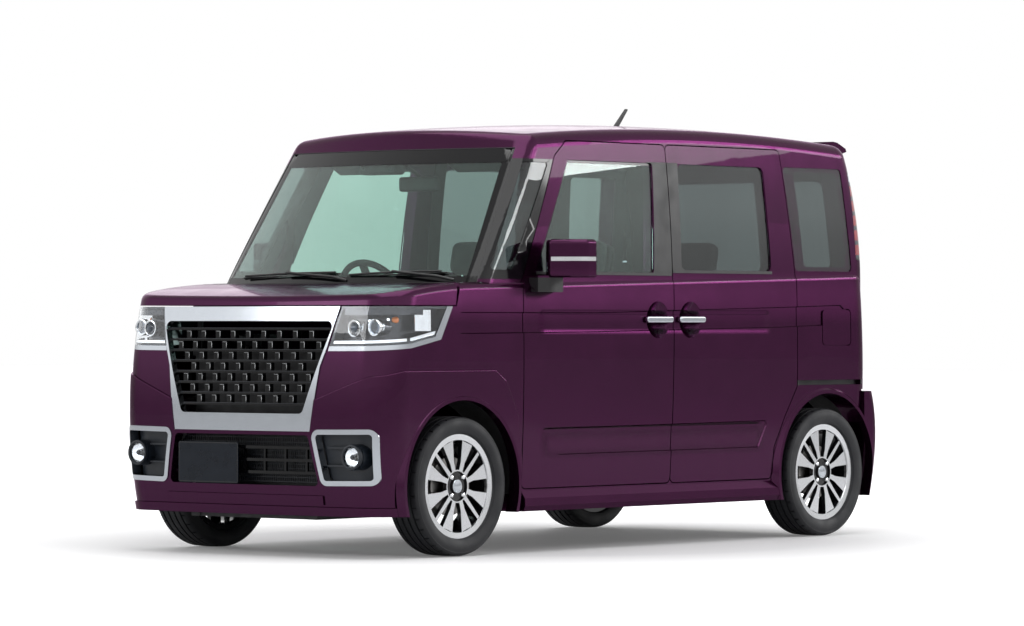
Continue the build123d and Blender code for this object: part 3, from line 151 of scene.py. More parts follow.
def maths(tree, operation, *operands):
    """One arithmetic step; each operand may be a socket."""
    node = tree.nodes.new("ShaderNodeMath")
    node.operation = operation
    for socket, value in zip(node.inputs, operands):
        feed(tree, socket, value)
    return node.outputs[0]


def product(tree, first, *others):
    for other in others:
        first = maths(tree, "MULTIPLY", first, other)
    return first


def run_effect(tree, group, given=()):
    """The outputs of an effect, run with some of its inputs given."""
    node = tree.nodes.new("ShaderNodeGroup")
    node.node_tree = group
    for label, value in dict(given).items():
        feed(tree, node.inputs[label], value)
    return node.outputs


# where the pressings along the sides begin and end, as soft steps
FLANK_STEP = (0.66, 0.70)
SHOULDER_STEP = (0.93, 1.16)
TROUGH_UP = ((0.884, 0.912), (0.966, 0.990))
TROUGH_ALONG = ((-0.69, -0.64), (0.84, 0.89))
SCOOP_UP = ((0.372, 0.494), (0.496, 0.510))
SCOOP_ALONG = ((-0.69, -0.60), (0.78, 0.86))


def build_pressings():
    """Soft pressings along the sides: a trough at handle height, a scoop low down, a falling shoulder."""
    tree, given, out = effect(
        "side_pressings", {"Trough depth": 0.004, "Scoop depth": 0.011, "Shoulder fall": 0.016}, ("Height",))
    place = axes_of(tree, object_place(tree))

    def ramp(axis, low, high):
        result = spread(tree, place[axis], low, high, 0.0, 1.0)
        result.node.interpolation_type = "SMOOTHSTEP"
        return result

    def window(axis, rise, fall):
        return maths(tree, "SUBTRACT", ramp(axis, *rise), ramp(axis, *fall))

    flank = spread(tree, maths(tree, "ABSOLUTE", place["X"]), *FLANK_STEP, 0.0, 1.0)
    trough = product(tree, window("Z", *TROUGH_UP), window("Y", *TROUGH_ALONG), given["Trough depth"])
    scoop = product(tree, window("Z", *SCOOP_UP), window("Y", *SCOOP_ALONG), given["Scoop depth"])
    shoulder = product(tree, ramp("Z", *SHOULDER_STEP), given["Shoulder fall"])
    depth = maths(tree, "ADD", maths(tree, "ADD", trough, scoop), shoulder)
    tree.links.new(product(tree, depth, flank, -1.0), out["Height"])
    return tree


PEEL_HEIGHT = 0.00002


def build_pearl():
    """Metal flake in a pearl paint: tiny cells that differ in tone, under a fine orange peel."""
    tree, given, out = effect(
        "pearl_flake", {"Colour": (0.1, 0.02, 0.06, 1), "Glint": (0.3, 0.1, 0.2, 1), "Share": 0.3})
    place = object_place(tree)
    flake = texture(tree, "Voronoi", place, Scale=2600.0)
    tone = spread(tree, flake["Color"], 0.45, 1.0, 0.0, given["Share"])
    tree.links.new(blend_colour(tree, tone, given["Colour"], given["Glint"]), out["Colour"])
    cloud = texture(tree, "Noise", place, Scale=9.0, Detail=3.0)
    tree.links.new(spread(tree, cloud["Fac"], 0.3, 0.7, 0.20, 0.25), out["Roughness"])
    peel = texture(tree, "Noise", place, Scale=260.0, Detail=1.0)
    pressed = run_effect(tree, side_pressings)
    tree.links.new(maths(tree, "MULTIPLY_ADD", peel["Fac"], PEEL_HEIGHT, pressed["Height"]), out["Height"])
    return tree


def build_moulded():
    """Fine pebble grain of moulded plastic, with a slight bloom where it has weathered."""
    tree, given, out = effect(
        "moulded_grain", {"Colour": (0.02, 0.02, 0.02, 1), "Roughness": 0.5, "Grain size": 900.0})
    place = object_place(tree)
    grain = texture(tree, "Voronoi", place, Scale=given["Grain size"])
    cloud = texture(tree, "Noise", place, Scale=14.0, Detail=4.0)
    tone = spread(tree, cloud["Fac"], 0.3, 0.7, 0.86, 1.16)
    tree.links.new(shade(tree, given["Colour"], tone), out["Colour"])
    tree.links.new(product(tree, given["Roughness"], tone), out["Roughness"])
    tree.links.new(grain["Distance"], out["Height"])
    return tree


def build_cloth():
    """Plain woven seat cloth: two crossed bands of yarn with fibre noise."""
    tree, given, out = effect("seat_weave", {"Colour": (0.04, 0.04, 0.045, 1), "Yarn": 700.0})
    place = object_place(tree)
    warp, weft = (texture(tree, "Wave", place, bands_direction=axis, Scale=given["Yarn"], Distortion=0.6)["Fac"]
                  for axis in "XZ")
    yarn = maths(tree, "MAXIMUM", warp, weft)
    fibre = texture(tree, "Noise", place, Scale=60.0, Detail=5.0)["Fac"]
    tone = maths(tree, "MULTIPLY_ADD", yarn, 0.5, spread(tree, fibre, 0.3, 0.7, 0.75, 1.3))
    tree.links.new(shade(tree, given["Colour"], tone), out["Colour"])
    tree.links.new(spread(tree, fibre, 0.3, 0.7, 0.85, 0.98), out["Roughness"])
    tree.links.new(yarn, out["Height"])
    return tree


def build_metal():
    """Plated, cast or coated metal: soft smears in the gloss and a fine surface ripple."""
    tree, given, out = effect(
        "metal_skin", {"Colour": (0.6, 0.6, 0.6, 1), "Roughness": 0.2, "Ripple": 300.0, "Smear": 1.0})
    place = object_place(tree)
    smear = texture(tree, "Noise", place, Scale=22.0, Detail=5.0)
    swing = product(tree, maths(tree, "SUBTRACT", smear["Fac"], 0.5), given["Smear"])
    tree.links.new(shade(tree, given["Colour"], maths(tree, "MULTIPLY_ADD", swing, 0.5, 1.0)), out["Colour"])
    tree.links.new(product(tree, given["Roughness"], maths(tree, "MULTIPLY_ADD", swing, 1.2, 1.0)),
                   out["Roughness"])
    ripple = texture(tree, "Noise", place, Scale=given["Ripple"], Detail=2.0)
    tree.links.new(ripple["Fac"], out["Height"])
    return tree


# the axles, and where a wheel's lip and brake disc lie, from the car's middle and from the axle
AXLES = (("front", -1.170), ("rear", 1.290))
AXLE_HEIGHT = 0.280
LIP_OUTWARD, LIP_RADIUS = 0.6930, 0.1965
DISC_OUTWARD, DISC_RADIUS = 0.6680, 0.1200
RINGS_PER_METRE = 1400.0


def build_wheel_zones():
    """Cut faces, brake disc and lathe rings of a wheel, told apart by the distance from its axle."""
    tree, given, out = effect("wheel_zones", {"Face plane": 0.7022, "Hub": 0.061}, ("Face", "Disc", "Rings"))
    place = axes_of(tree, object_place(tree))
    outward = maths(tree, "ABSOLUTE", place["X"])
    between, reach = 0.06, 1.23  # the middle between the axles, and how far each lies from it
    off_middle = maths(tree, "ABSOLUTE", maths(tree, "SUBTRACT", place["Y"], between))
    along = maths(tree, "SUBTRACT", off_middle, reach)
    upward = maths(tree, "SUBTRACT", place["Z"], AXLE_HEIGHT)
    radius = maths(tree, "SQRT", maths(tree, "ADD", product(tree, along, along), product(tree, upward, upward)))

    def zone(outward_test, outward_limit, radius_test, radius_limit):
        return product(tree, maths(tree, outward_test, outward, outward_limit),
                       maths(tree, radius_test, radius, radius_limit))

    cut = zone("GREATER_THAN", given["Face plane"], "GREATER_THAN", given["Hub"])
    lip = zone("GREATER_THAN", LIP_OUTWARD, "GREATER_THAN", LIP_RADIUS)
    tree.links.new(maths(tree, "MAXIMUM", cut, lip), out["Face"])
    tree.links.new(zone("LESS_THAN", DISC_OUTWARD, "LESS_THAN", DISC_RADIUS), out["Disc"])
    ring_place = tree.nodes.new("ShaderNodeCombineXYZ")
    tree.links.new(product(tree, radius, RINGS_PER_METRE), ring_place.inputs["X"])
    tree.links.new(texture(tree, "Noise", ring_place.outputs[0], Scale=1.0)["Fac"], out["Rings"])
    return tree


side_pressings = build_pressings()
pearl_flake = build_pearl()
moulded_grain = build_moulded()
seat_weave = build_cloth()
metal_skin = build_metal()
wheel_zones = build_wheel_zones()

# ---------------------------------------------------------------- materials


def new_material(name):
    """A material, its node tree and its Principled shader."""
    material = bpy.data.materials.new(name)
    material.use_nodes = True
    return material, material.node_tree, material.node_tree.nodes["Principled BSDF"]


def bumped(tree, shader, height, distance):
    """Raises the surface of a shader by a height times a distance."""
    bump = tree.nodes.new("ShaderNodeBump")
    bump.inputs["Distance"].default_value = distance
    tree.links.new(height, bump.inputs["Height"])
    tree.links.new(bump.outputs["Normal"], shader.inputs["Normal"])


def finish_with(name, group, given, bump=0.0, **settings):
    """A material: one effect group into a Principled shader, with a bump of the given height."""
    material, tree, shader = new_material(name)
    for label, value in settings.items():
        shader.inputs[label.replace("_", " ")].default_value = value
    made = run_effect(tree, group, given)
    tree.links.new(made["Colour"], shader.inputs["Base Color"])
    tree.links.new(made["Roughness"], shader.inputs["Roughness"])
    if bump:
        bumped(tree, shader, made["Height"], bump)
    return material


def moulded(name, colour, roughness, grain, bump):
    """Moulded plastic, rubber, lining or carpet."""
    given = {"Colour": colour, "Roughness": roughness, "Grain size": grain}
    return finish_with(name, moulded_grain, given, bump)


def metal(name, colour, roughness, ripple=40.0, smear=0.4, **settings):
    """A plated, cast, coated or polished skin."""
    given = {"Colour": colour, "Roughness": roughness, "Ripple": ripple, "Smear": smear}
    return finish_with(name, metal_skin, given, **settings)


def glass(name, colour, over_air):
    """Tinted glass with a glossy surface, which lets lamp light through to what lies behind it."""
    material, tree, shader = new_material(name)
    for label, value in (("Base Color", colour), ("Roughness", 0.0), ("IOR", 1.0 + over_air),
                         ("Transmission Weight", 1.0)):
        feed(tree, shader.inputs[label], value)
    clear = tree.nodes.new("ShaderNodeBsdfTransparent")
    feed(tree, clear.inputs["Color"], colour)
    path = tree.nodes.new("ShaderNodeLightPath")
    mix = tree.nodes.new("ShaderNodeMixShader")
    for socket, value in zip(mix.inputs, (path.outputs["Is Shadow Ray"], shader.outputs[0], clear.outputs[0])):
        tree.links.new(value, socket)
    tree.links.new(mix.outputs[0], tree.nodes["Material Output"].inputs["Surface"])
    return material


def wheel_finish():
    """Alloy wheel: bright cut faces and rim edge, dark polished pockets, grey brake disc."""
    material, tree, shader = new_material("cut_and_dark_alloy")
    zones = run_effect(tree, wheel_zones)
    base = blend_colour(tree, zones["Disc"], (0.010, 0.010, 0.012), (0.34, 0.33, 0.32))
    tree.links.new(blend_colour(tree, zones["Face"], base, (0.64, 0.65, 0.67)), shader.inputs["Base Color"])
    tree.links.new(maths(tree, "MAXIMUM", zones["Face"], zones["Disc"]), shader.inputs["Metallic"])
    dark_rough = spread(tree, zones["Disc"], 0.0, 1.0, 0.10, 0.34)
    tree.links.new(spread(tree, zones["Face"], 0.0, 1.0, dark_rough, 0.22), shader.inputs["Roughness"])
    bumped(tree, shader, zones["Rings"], 0.00003)
    return material


plum = finish_with("plum_pearl", pearl_flake,
                   {"Colour": (0.042, 0.0075, 0.032), "Glint": (0.110, 0.030, 0.088), "Share": 0.5}, 1.0,
                   Metallic=0.9, Coat_Weight=0.25, Coat_Roughness=0.02, Coat_IOR=1.4,
                   Specular_Tint=(0.45, 0.25, 0.42, 1.0))
seat_cloth = finish_with("seat_cloth", seat_weave, {"Colour": (0.032, 0.032, 0.036), "Yarn": 420.0}, 0.0006,
                         Sheen_Weight=0.35, Sheen_Roughness=0.4)
wheel_alloy = wheel_finish()

black_trim = moulded("black_moulding", (0.010, 0.010, 0.011), 0.5, grain=1100.0, bump=0.0001)
blue_black = moulded("dark_moulding", (0.007, 0.011, 0.018), 0.42, grain=1100.0, bump=0.0001)
tyre_rubber = moulded("tyre_rubber", (0.004, 0.0045, 0.007), 0.62, grain=600.0, bump=0.0001)
cabin_black = moulded("cabin_moulding", (0.022, 0.022, 0.024), 0.6, grain=1400.0, bump=0.00006)
cabin_light = moulded("headlining", (0.07, 0.07, 0.074), 0.85, grain=700.0, bump=0.00003)
carpet = moulded("carpet", (0.018, 0.018, 0.019), 0.95, grain=420.0, bump=0.0015)

gloss_black = metal("polished_black", (0.004, 0.004, 0.005), 0.09, smear=0.6, Specular_IOR_Level=0.35)
plate_finish = metal("plate_enamel", (0.004, 0.008, 0.016), 0.3, ripple=90.0, smear=0.8,
                     Specular_IOR_Level=0.25)
display = metal("display_glass", (0.010, 0.014, 0.020), 0.05, ripple=20.0, smear=0.2)
satin_chrome = metal("satin_chrome", (0.50, 0.53, 0.57), 0.17, smear=0.15, Metallic=1.0)
bright_chrome = metal("bright_chrome", (0.70, 0.72, 0.74), 0.06, smear=0.3, Metallic=1.0)
mirror_silver = metal("mirror_silver", (0.80, 0.82, 0.84), 0.02, ripple=20.0, smear=0.1, Metallic=1.0)
under_paint = metal("under_coating", (0.022, 0.022, 0.024), 0.55, ripple=160.0, smear=1.0, bump=0.0008)
cast_iron = metal("cast_iron", (0.13, 0.125, 0.12), 0.5, ripple=220.0, smear=1.0, bump=0.001, Metallic=0.8)
lamp_bright = metal("lamp_reflector", (0.86, 0.88, 0.90), 0.12, Metallic=1.0)
lamp_dark = metal("lamp_bezel", (0.030, 0.034, 0.042), 0.16, smear=0.6, Metallic=0.3)
amber = metal("amber_bulb", (0.80, 0.22, 0.03), 0.12)
tail_red = metal("tail_red", (0.42, 0.012, 0.015), 0.1, ripple=300.0)
small_light = metal("small_light", (0.9, 0.94, 1.0), 0.2, smear=0.1,
                    Emission_Color=(0.9, 0.95, 1.0, 1.0), Emission_Strength=2.5)

clear_glass = glass("green_glass", (0.56, 0.74, 0.68), 0.45)
dark_glass = glass("privacy_glass", (0.22, 0.26, 0.26), 0.45)
lens = glass("clear_lens", (0.93, 0.95, 0.97), 0.40)
smoked_lens = glass("smoked_lens", (0.60, 0.66, 0.74), 0.40)

slot_finish = {
    "body_paint": plum, "black_trim": black_trim, "gloss_black": gloss_black, "satin_chrome": satin_chrome,
    "glazing": clear_glass, "privacy_glass": dark_glass, "lamp_lens": lens, "tyre": tyre_rubber,
    "alloy": wheel_alloy, "chassis": under_paint, "castings": cast_iron, "cabin_plastic": cabin_black,
    "seat_cloth": seat_cloth, "interior_panel": plum,
}

# nodes whose finish differs from the rest of their slot
own_finish = {"fog_lamps": blue_black, "headlamps": lamp_dark, "front_plate": plate_finish,
              "tail_lamps": smoked_lens, "floor_pan": carpet}

for node_name, obj in nodes.items():
    slot_name = obj.data.materials[0].name.split(".")[0]
    obj.data.materials.clear()
    obj.data.materials.append(own_finish.get(node_name, slot_finish[slot_name]))

# ---------------------------------------------------------------- making pieces


def node_copy(node):
    """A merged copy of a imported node's mesh."""
    mesh = bmesh.new()
    mesh.from_mesh(nodes[node].data)
    bmesh.ops.remove_doubles(mesh, verts=mesh.verts, dist=1e-5)
    return mesh


def stretch(node, planes, facing, least):
    """The part of a node's skin that lies inside some planes and faces one way."""
    mesh = node_copy(node)
    for place, way in planes:
        everything = mesh.verts[:] + mesh.edges[:] + mesh.faces[:]
        bmesh.ops.bisect_plane(mesh, geom=everything, plane_co=place, plane_no=way, clear_inner=True)
    if facing is not None:
        mesh.normal_update()
        away = [face for face in mesh.faces if face.normal.dot(Vector(facing)) < least]
        bmesh.ops.delete(mesh, geom=away, context="FACES")
    return mesh


def new_object(name, data):
    obj = bpy.data.objects.new(name, data)
    bpy.context.scene.collection.objects.link(obj)
    return obj


def as_data(name, mesh):
    data = bpy.data.meshes.new(name)
    mesh.to_mesh(data)
    mesh.free()
    return data


def piece(name, mesh, material, body="body", crease=40.0):
    """A finished mesh as an object that rides on a body, smooth but for its creases."""
    mesh.normal_update()
    data = as_data(name, mesh)
    data.polygons.foreach_set("use_smooth", [True] * len(data.polygons))
    data.set_sharp_from_angle(angle=math.radians(crease))
    data.materials.append(material)
    obj = new_object(name, data)
    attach(obj, body)
    return obj


def new_verts(made):
    return [part for part in made["geom"] if isinstance(part, bmesh.types.BMVert)]


def walled(mesh, thickness):
    """Gives a sheet its thickness, outwards where it is positive and inwards where it is negative."""
    mesh.normal_update()
    made = bmesh.ops.extrude_face_region(mesh, geom=mesh.faces[:])
    shift = {vert: vert.normal * thickness for vert in new_verts(made)}
    for vert, step in shift.items():
        vert.co += step
    bmesh.ops.recalc_face_normals(mesh, faces=mesh.faces)
    return mesh


PATCH_CREASE = 35.0


def skin_patch(name, node, material, planes, proud=0.0005, facing=None, least=0.35):
    """A thin layer that covers part of a node: the stretch inside some planes, facing one way."""
    layer = walled(stretch(node, planes, facing, least), proud)
    return piece(name, layer, material, body_of(nodes[node])[0], PATCH_CREASE)


def inner_patch(name, node, material, planes, depth, thickness, facing, least=0.3):
    """A layer like part of a node's outer face, but set a distance inside it."""
    mesh = stretch(node, planes, facing, least)
    mesh.normal_update()
    for vert in mesh.verts:
        vert.co -= vert.normal * depth
    return piece(name, walled(mesh, -thickness), material, body_of(nodes[node])[0], PATCH_CREASE)


def across(first, second, way=1.0):
    """A plane through a line drawn in side view (y, z), facing to its left or right."""
    run = Vector((0, second[0] - first[0], second[1] - first[1]))
    return (0, *first), Vector((way, 0, 0)).cross(run)


def above(height):
    return (0, 0, height), (0, 0, 1)


def below(height):
    return (0, 0, height), (0, 0, -1)


def behind(place):
    return (0, place, 0), (0, 1, 0)


def ahead(place):
    return (0, place, 0), (0, -1, 0)


def beyond(place):
    """Further out to one side than a place: positive to the left, negative to the right."""
    return (place, 0, 0), (1 if place > 0 else -1, 0, 0)


def within(place):
    return (place, 0, 0), (-1 if place > 0 else 1, 0, 0)


def turned(profile, steps=48):
    """A half-section (along X, radius) turned round the X axis through the origin."""
    mesh = bmesh.new()
    points = [mesh.verts.new((along, 0, radius)) for along, radius in profile]
    edges = [mesh.edges.new(pair) for pair in zip(points, points[1:])]
    bmesh.ops.spin(mesh, geom=points + edges, cent=(0, 0, 0), axis=(1, 0, 0), dvec=(0, 0, 0),
                   angle=2 * math.pi, steps=steps, use_merge=True)
    bmesh.ops.remove_doubles(mesh, verts=mesh.verts, dist=1e-6)
    bmesh.ops.recalc_face_normals(mesh, faces=mesh.faces)
    return mesh


def block(size, place=(0, 0, 0), rounding=0.0, segments=1, turn=None):
    """A block with its edges rounded."""
    mesh = bmesh.new()
    bmesh.ops.create_cube(mesh, size=1.0)
    bmesh.ops.scale(mesh, vec=size, verts=mesh.verts)
    if rounding:
        bmesh.ops.bevel(mesh, geom=mesh.edges[:], offset=rounding, segments=segments, affect="EDGES",
                        profile=0.5, material=-1, offset_type="OFFSET")
    if turn is not None:
        bmesh.ops.transform(mesh, matrix=turn, verts=mesh.verts)
    bmesh.ops.translate(mesh, vec=place, verts=mesh.verts)
    return mesh


def merged(meshes):
    """Several meshes as one."""
    whole = bmesh.new()
    for mesh in meshes:
        data = as_data("part", mesh)
        whole.from_mesh(data)
        bpy.data.meshes.remove(data)
    return whole


def copied(mesh, matrix):
    """A copy of a mesh, moved by a matrix and turned the right way out."""
    twin = mesh.copy()
    bmesh.ops.transform(twin, matrix=matrix, verts=twin.verts)
    if matrix.determinant() < 0:
        bmesh.ops.reverse_faces(twin, faces=twin.faces)
    return twin


def rod(points, radius, sides=8):
    """A round bar along some points."""
    line = bpy.data.curves.new("line", "CURVE")
    line.dimensions = "3D"
    line.bevel_depth = radius
    line.bevel_resolution = sides // 4
    line.use_fill_caps = True
    spline = line.splines.new("POLY")
    spline.points.add(len(points) - 1)
    for point, place in zip(spline.points, points):
        point.co = (*place, 1.0)
    holder = bpy.data.objects.new("line", line)
    data = bpy.data.meshes.new_from_object(holder)
    mesh = bmesh.new()
    mesh.from_mesh(data)
    bpy.data.objects.remove(holder)
    bpy.data.curves.remove(line)
    bpy.data.meshes.remove(data)
    bmesh.ops.remove_doubles(mesh, verts=mesh.verts, dist=1e-6)
    bmesh.ops.recalc_face_normals(mesh, faces=mesh.faces)
    return mesh


MIRROR = Matrix.Scale(-1, 4, (1, 0, 0))
SIDES = (("left", 1.0), ("right", -1.0))


def flipped(mesh, side):
    """The mesh as made for the left side, or its mirror image for the right."""
    if side > 0:
        return mesh
    twin = copied(mesh, MIRROR)
    mesh.free()
    return twin

# ---------------------------------------------------------------- body trims, by side

BELT = 1.1415
WINDOW_TOP = 1.6105
REAR_RISE = 0.012  # how much higher the sliding door's belt lies
STRIP_LOW, STRIP_HEIGHT, STRIP_PROUD = 1.1325, 0.012, 0.003
BORDER = 0.0004
BAR_REACH, BAR_LOW, BAR_HIGH, BAR_OUT = 0.090, 0.934, 0.962, 0.7305
for side_name, side in SIDES:
    out, inwards = (side, 0, 0), (-side, 0, 0)

    def patch(name, node, *rest):
        skin_patch(name + "_" + side_name, node + "_" + side_name, *rest)

    # dark cover over the slim pillars round the fixed front pane
    patch("pillar_cover", "side_frame", gloss_black, [
        above(1.112), below(1.606), across((-0.800, 1.062), (-0.527, 1.615))],
        0.0005, (0.85 * side, -0.5, 0.15), 0.2)
    # dark covers on the door frames between the two door windows
    patch("door_post_cover", "front_door", black_trim, [
        above(BELT), below(WINDOW_TOP), behind(0.082)], 0.0005, out, 0.6)
    patch("door_post_cover_rear", "sliding_door", black_trim, [
        above(BELT + REAR_RISE), below(WINDOW_TOP), ahead(0.293)], 0.0005, out, 0.6)
    # weather strip along the bottom of each door window
    for name, door, low, start, end in (
            ("belt_strip", "front_door", STRIP_LOW, -0.69, 0.20),
            ("belt_strip_rear", "sliding_door", STRIP_LOW + REAR_RISE, 0.20, 0.905)):
        patch(name, door, black_trim, [
            above(low), below(low + STRIP_HEIGHT), behind(start), ahead(end)], STRIP_PROUD, out, 0.6)
    # black printed borders of the panes
    patch("pane_edge_top", "front_door_glass", gloss_black, [above(1.595)], BORDER, out)
    patch("pane_edge_front", "front_door_glass", gloss_black,
          [across((-0.655, 1.190), (-0.424, 1.607))], BORDER, out)
    # door trims, and the inner faces of the shell
    patch("door_trim", "front_door", cabin_black, [above(0.30), below(1.125)], 0.004, inwards, 0.6)
    patch("door_trim_rear", "sliding_door", cabin_black, [above(0.30), below(1.135)], 0.004, inwards, 0.6)
    patch("shell_trim", "side_frame", cabin_light, [above(0.30), within(side * 0.712)], 0.002, inwards, 0.4)
    # pull bars
    for name, door, middle in (("handle_bar", "front_door", 0.096), ("handle_rear_bar", "sliding_door", 0.318)):
        patch(name, door, satin_chrome, [
            behind(middle - BAR_REACH), ahead(middle + BAR_REACH), above(BAR_LOW), below(BAR_HIGH),
            beyond(side * BAR_OUT)], 0.0006)
    # mirrors: black foot, turn lamp, mirror glass
    patch("mirror_foot", "mirror", black_trim, [below(1.1185)], 0.0006)
    patch("mirror_lamp", "mirror", lamp_bright, [
        above(1.186), below(1.203), beyond(side * 0.800), ahead(-0.56)], 0.0015, (side * 0.3, -1, 0), 0.2)
    patch("mirror_glass", "mirror", mirror_silver, [
        above(1.135), below(1.262), beyond(side * 0.765), within(side * 0.905)], 0.0012, (0, 1, 0), 0.5)

SCREEN_FACING = (0, -0.85, 0.5)
SCREEN_FOOT, SCREEN_HEAD = Vector((0.690, 0, 1.097)), Vector((0.614, 0, 1.652))
SCREEN_BORDER = 0.040
skin_patch("screen_band_top", "windshield", gloss_black, [above(1.590)], BORDER, SCREEN_FACING, 0.4)
skin_patch("screen_band_low", "windshield", gloss_black, [below(1.122)], BORDER, SCREEN_FACING, 0.4)
slope = (SCREEN_HEAD - SCREEN_FOOT).normalized()
for side_name, side in SIDES:
    skin_patch("screen_band_" + side_name, "windshield", gloss_black, [
        ((side * (SCREEN_FOOT.x - SCREEN_BORDER), 0, SCREEN_FOOT.z), (side * slope.z, 0, -slope.x))],
        BORDER, SCREEN_FACING, 0.3)
skin_patch("headlining", "roof", cabin_light, [above(1.55)], 0.003, (0, 0, -1), 0.5)

# ---------------------------------------------------------------- wheels

WHEEL_X = 0.645
TREAD_STEPS = 288
PITCH_STEPS = 8  # tread steps from one cross groove to the next
STAGGER = 3  # tread steps by which the outer shoulder's grooves are turned
SHOULDER_FROM, GROOVE_FROM, GROOVE_DEPTH = 0.0515, 0.2735, 0.005
side_wall = [
    (0.0568, 0.1915), (0.0568, 0.2045), (0.0620, 0.2085), (0.0705, 0.2130), (0.0732, 0.2160), (0.0745, 0.2158),
    (0.0790, 0.2260), (0.0815, 0.2380), (0.0822, 0.2450), (0.0818, 0.2540), (0.0795, 0.2640), (0.0800, 0.2655),
    (0.0770, 0.2715), (0.0720, 0.2755), (0.0640, 0.2782),
]
crown = [(0.0515, 0.2790), (0.0508, 0.2725), (0.0445, 0.2725), (0.0438, 0.2793), (0.0205, 0.2798),
         (0.0198, 0.2728), (0.0125, 0.2728), (0.0118, 0.2800)]
half = side_wall + crown
bead = [(-0.044, 0.1915), (0.044, 0.1915), (0.0568, 0.1915)]
tyre_profile = half + [(-along, radius) for along, radius in reversed(half)] + bead


def tyre_mesh():
    """A tyre with four grooves round it and short grooves across each shoulder."""
    mesh = turned(tyre_profile, TREAD_STEPS)
    cuts = []
    for face in mesh.faces:
        middle = face.calc_center_median()
        step = math.atan2(middle.z, middle.y) / (2 * math.pi / TREAD_STEPS) + TREAD_STEPS
        in_groove = int(math.floor(step + (STAGGER if middle.x > 0 else 0))) % PITCH_STEPS == 0
        if abs(middle.x) > SHOULDER_FROM and math.hypot(middle.y, middle.z) > GROOVE_FROM and in_groove:
            cuts.append(face)
    made = bmesh.ops.extrude_face_region(mesh, geom=cuts)
    bmesh.ops.delete(mesh, geom=cuts, context="FACES_ONLY")
    for vert in new_verts(made):
        radius = math.hypot(vert.co.y, vert.co.z)
        vert.co.y *= 1 - GROOVE_DEPTH / radius
        vert.co.z *= 1 - GROOVE_DEPTH / radius
    return mesh


# a nut with six flats and a domed end, and the domed cap in the middle of the wheel
NUT = [(-0.012, 0.0), (-0.012, 0.0105), (0.006, 0.0105), (0.0095, 0.0085), (0.0112, 0.0045), (0.0118, 0.0)]
CAP = [(-0.010, 0.0), (-0.010, 0.028), (0.0035, 0.0282), (0.0060, 0.0265), (0.0066, 0.0225),
       (0.0052, 0.0205), (0.0060, 0.0150), (0.0068, 0.0070), (0.0070, 0.0)]
NUT_CIRCLE = 0.050
NUT_OUT, CAP_OUT = 0.052, 0.054
tyre = tyre_mesh()
for end, axle in AXLES:
    for side_name, side in SIDES:
        corner = end + "_" + side_name
        body = "wheel_" + corner
        place = Matrix.Translation((side * WHEEL_X, axle, AXLE_HEIGHT))
        if side < 0:
            place = place @ MIRROR
        fitted = piece("tread_" + corner, copied(tyre, place), tyre_rubber, body, 28)
        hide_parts("tyre_" + corner)
        nuts = []
        for quarter in range(4):
            angle = math.radians(45 + 90 * quarter)
            nuts.append(turned(NUT, 6))
            bmesh.ops.translate(nuts[-1], verts=nuts[-1].verts,
                                vec=(NUT_OUT, NUT_CIRCLE * math.cos(angle), NUT_CIRCLE * math.sin(angle)))
        piece("nuts_" + corner, copied(merged(nuts), place), lamp_bright, body, 20)
        cap = turned(CAP, 40)
        bmesh.ops.translate(cap, verts=cap.verts, vec=(CAP_OUT, 0, 0))
        piece("cap_" + corner, copied(cap, place), satin_chrome, body, 20)
tyre.free()

# ---------------------------------------------------------------- wipers

SCREEN_SLOPE = Vector((0, -0.832, 0.555))


def screen_at(sideways, up, proud):
    """A point a little in front of the windshield, which is bowed from side to side."""
    return Vector((sideways, -1.152 + sideways ** 2 / 5.268 + 0.668 * (up - 1.087), up)) + SCREEN_SLOPE * proud


for name, start, end, low, high in (("long", -0.55, 0.04, 1.118, 1.132), ("short", 0.08, 0.56, 1.120, 1.134)):

    def on_blade(share, proud):
        return screen_at(start + (end - start) * share, low + (high - low) * share, proud)

    blade = [on_blade(share, 0.006) for share in (0, 0.2, 0.4, 0.6, 0.8, 1)]
    spine = [on_blade(share, 0.017 + 0.006 * math.sin(math.pi * share))
             for share in (0.04, 0.2, 0.4, 0.5, 0.6, 0.8, 0.96)]
    arm = [screen_at(end + 0.05, 1.100, 0.012), screen_at(end - 0.02, 1.108, 0.026), on_blade(0.5, 0.030)]
    piece("wiper_" + name, merged([rod(blade, 0.0035), rod(spine, 0.0045), rod(arm, 0.006)]), black_trim)

# ---------------------------------------------------------------- headlamps

FORWARD = Matrix.Rotation(math.radians(-90), 4, "Z")


def facing_forward(mesh, place):
    """A mesh turned round the X axis, set at a place so that its end looks forward."""
    bmesh.ops.transform(mesh, matrix=Matrix.Translation(place) @ FORWARD, verts=mesh.verts)
    return mesh


def glass_dome(radius, height):
    """A domed lens that looks along X."""
    profile = [(0.0, radius)]
    for step in range(1, 9):
        angle = math.radians(90 * step / 8)
        profile.append((height * math.sin(angle), radius * math.cos(angle)))
    return turned(profile + [(-0.004, 0.0), (-0.004, radius), (0.0, radius)], 40)


def on_nose(name, meshes, side, material, crease=60.0):
    """Turned meshes at their places on one side of the nose, as one piece."""
    whole = merged([facing_forward(mesh, place) for mesh, place in meshes])
    piece(name, flipped(whole, side), material, "body", crease)


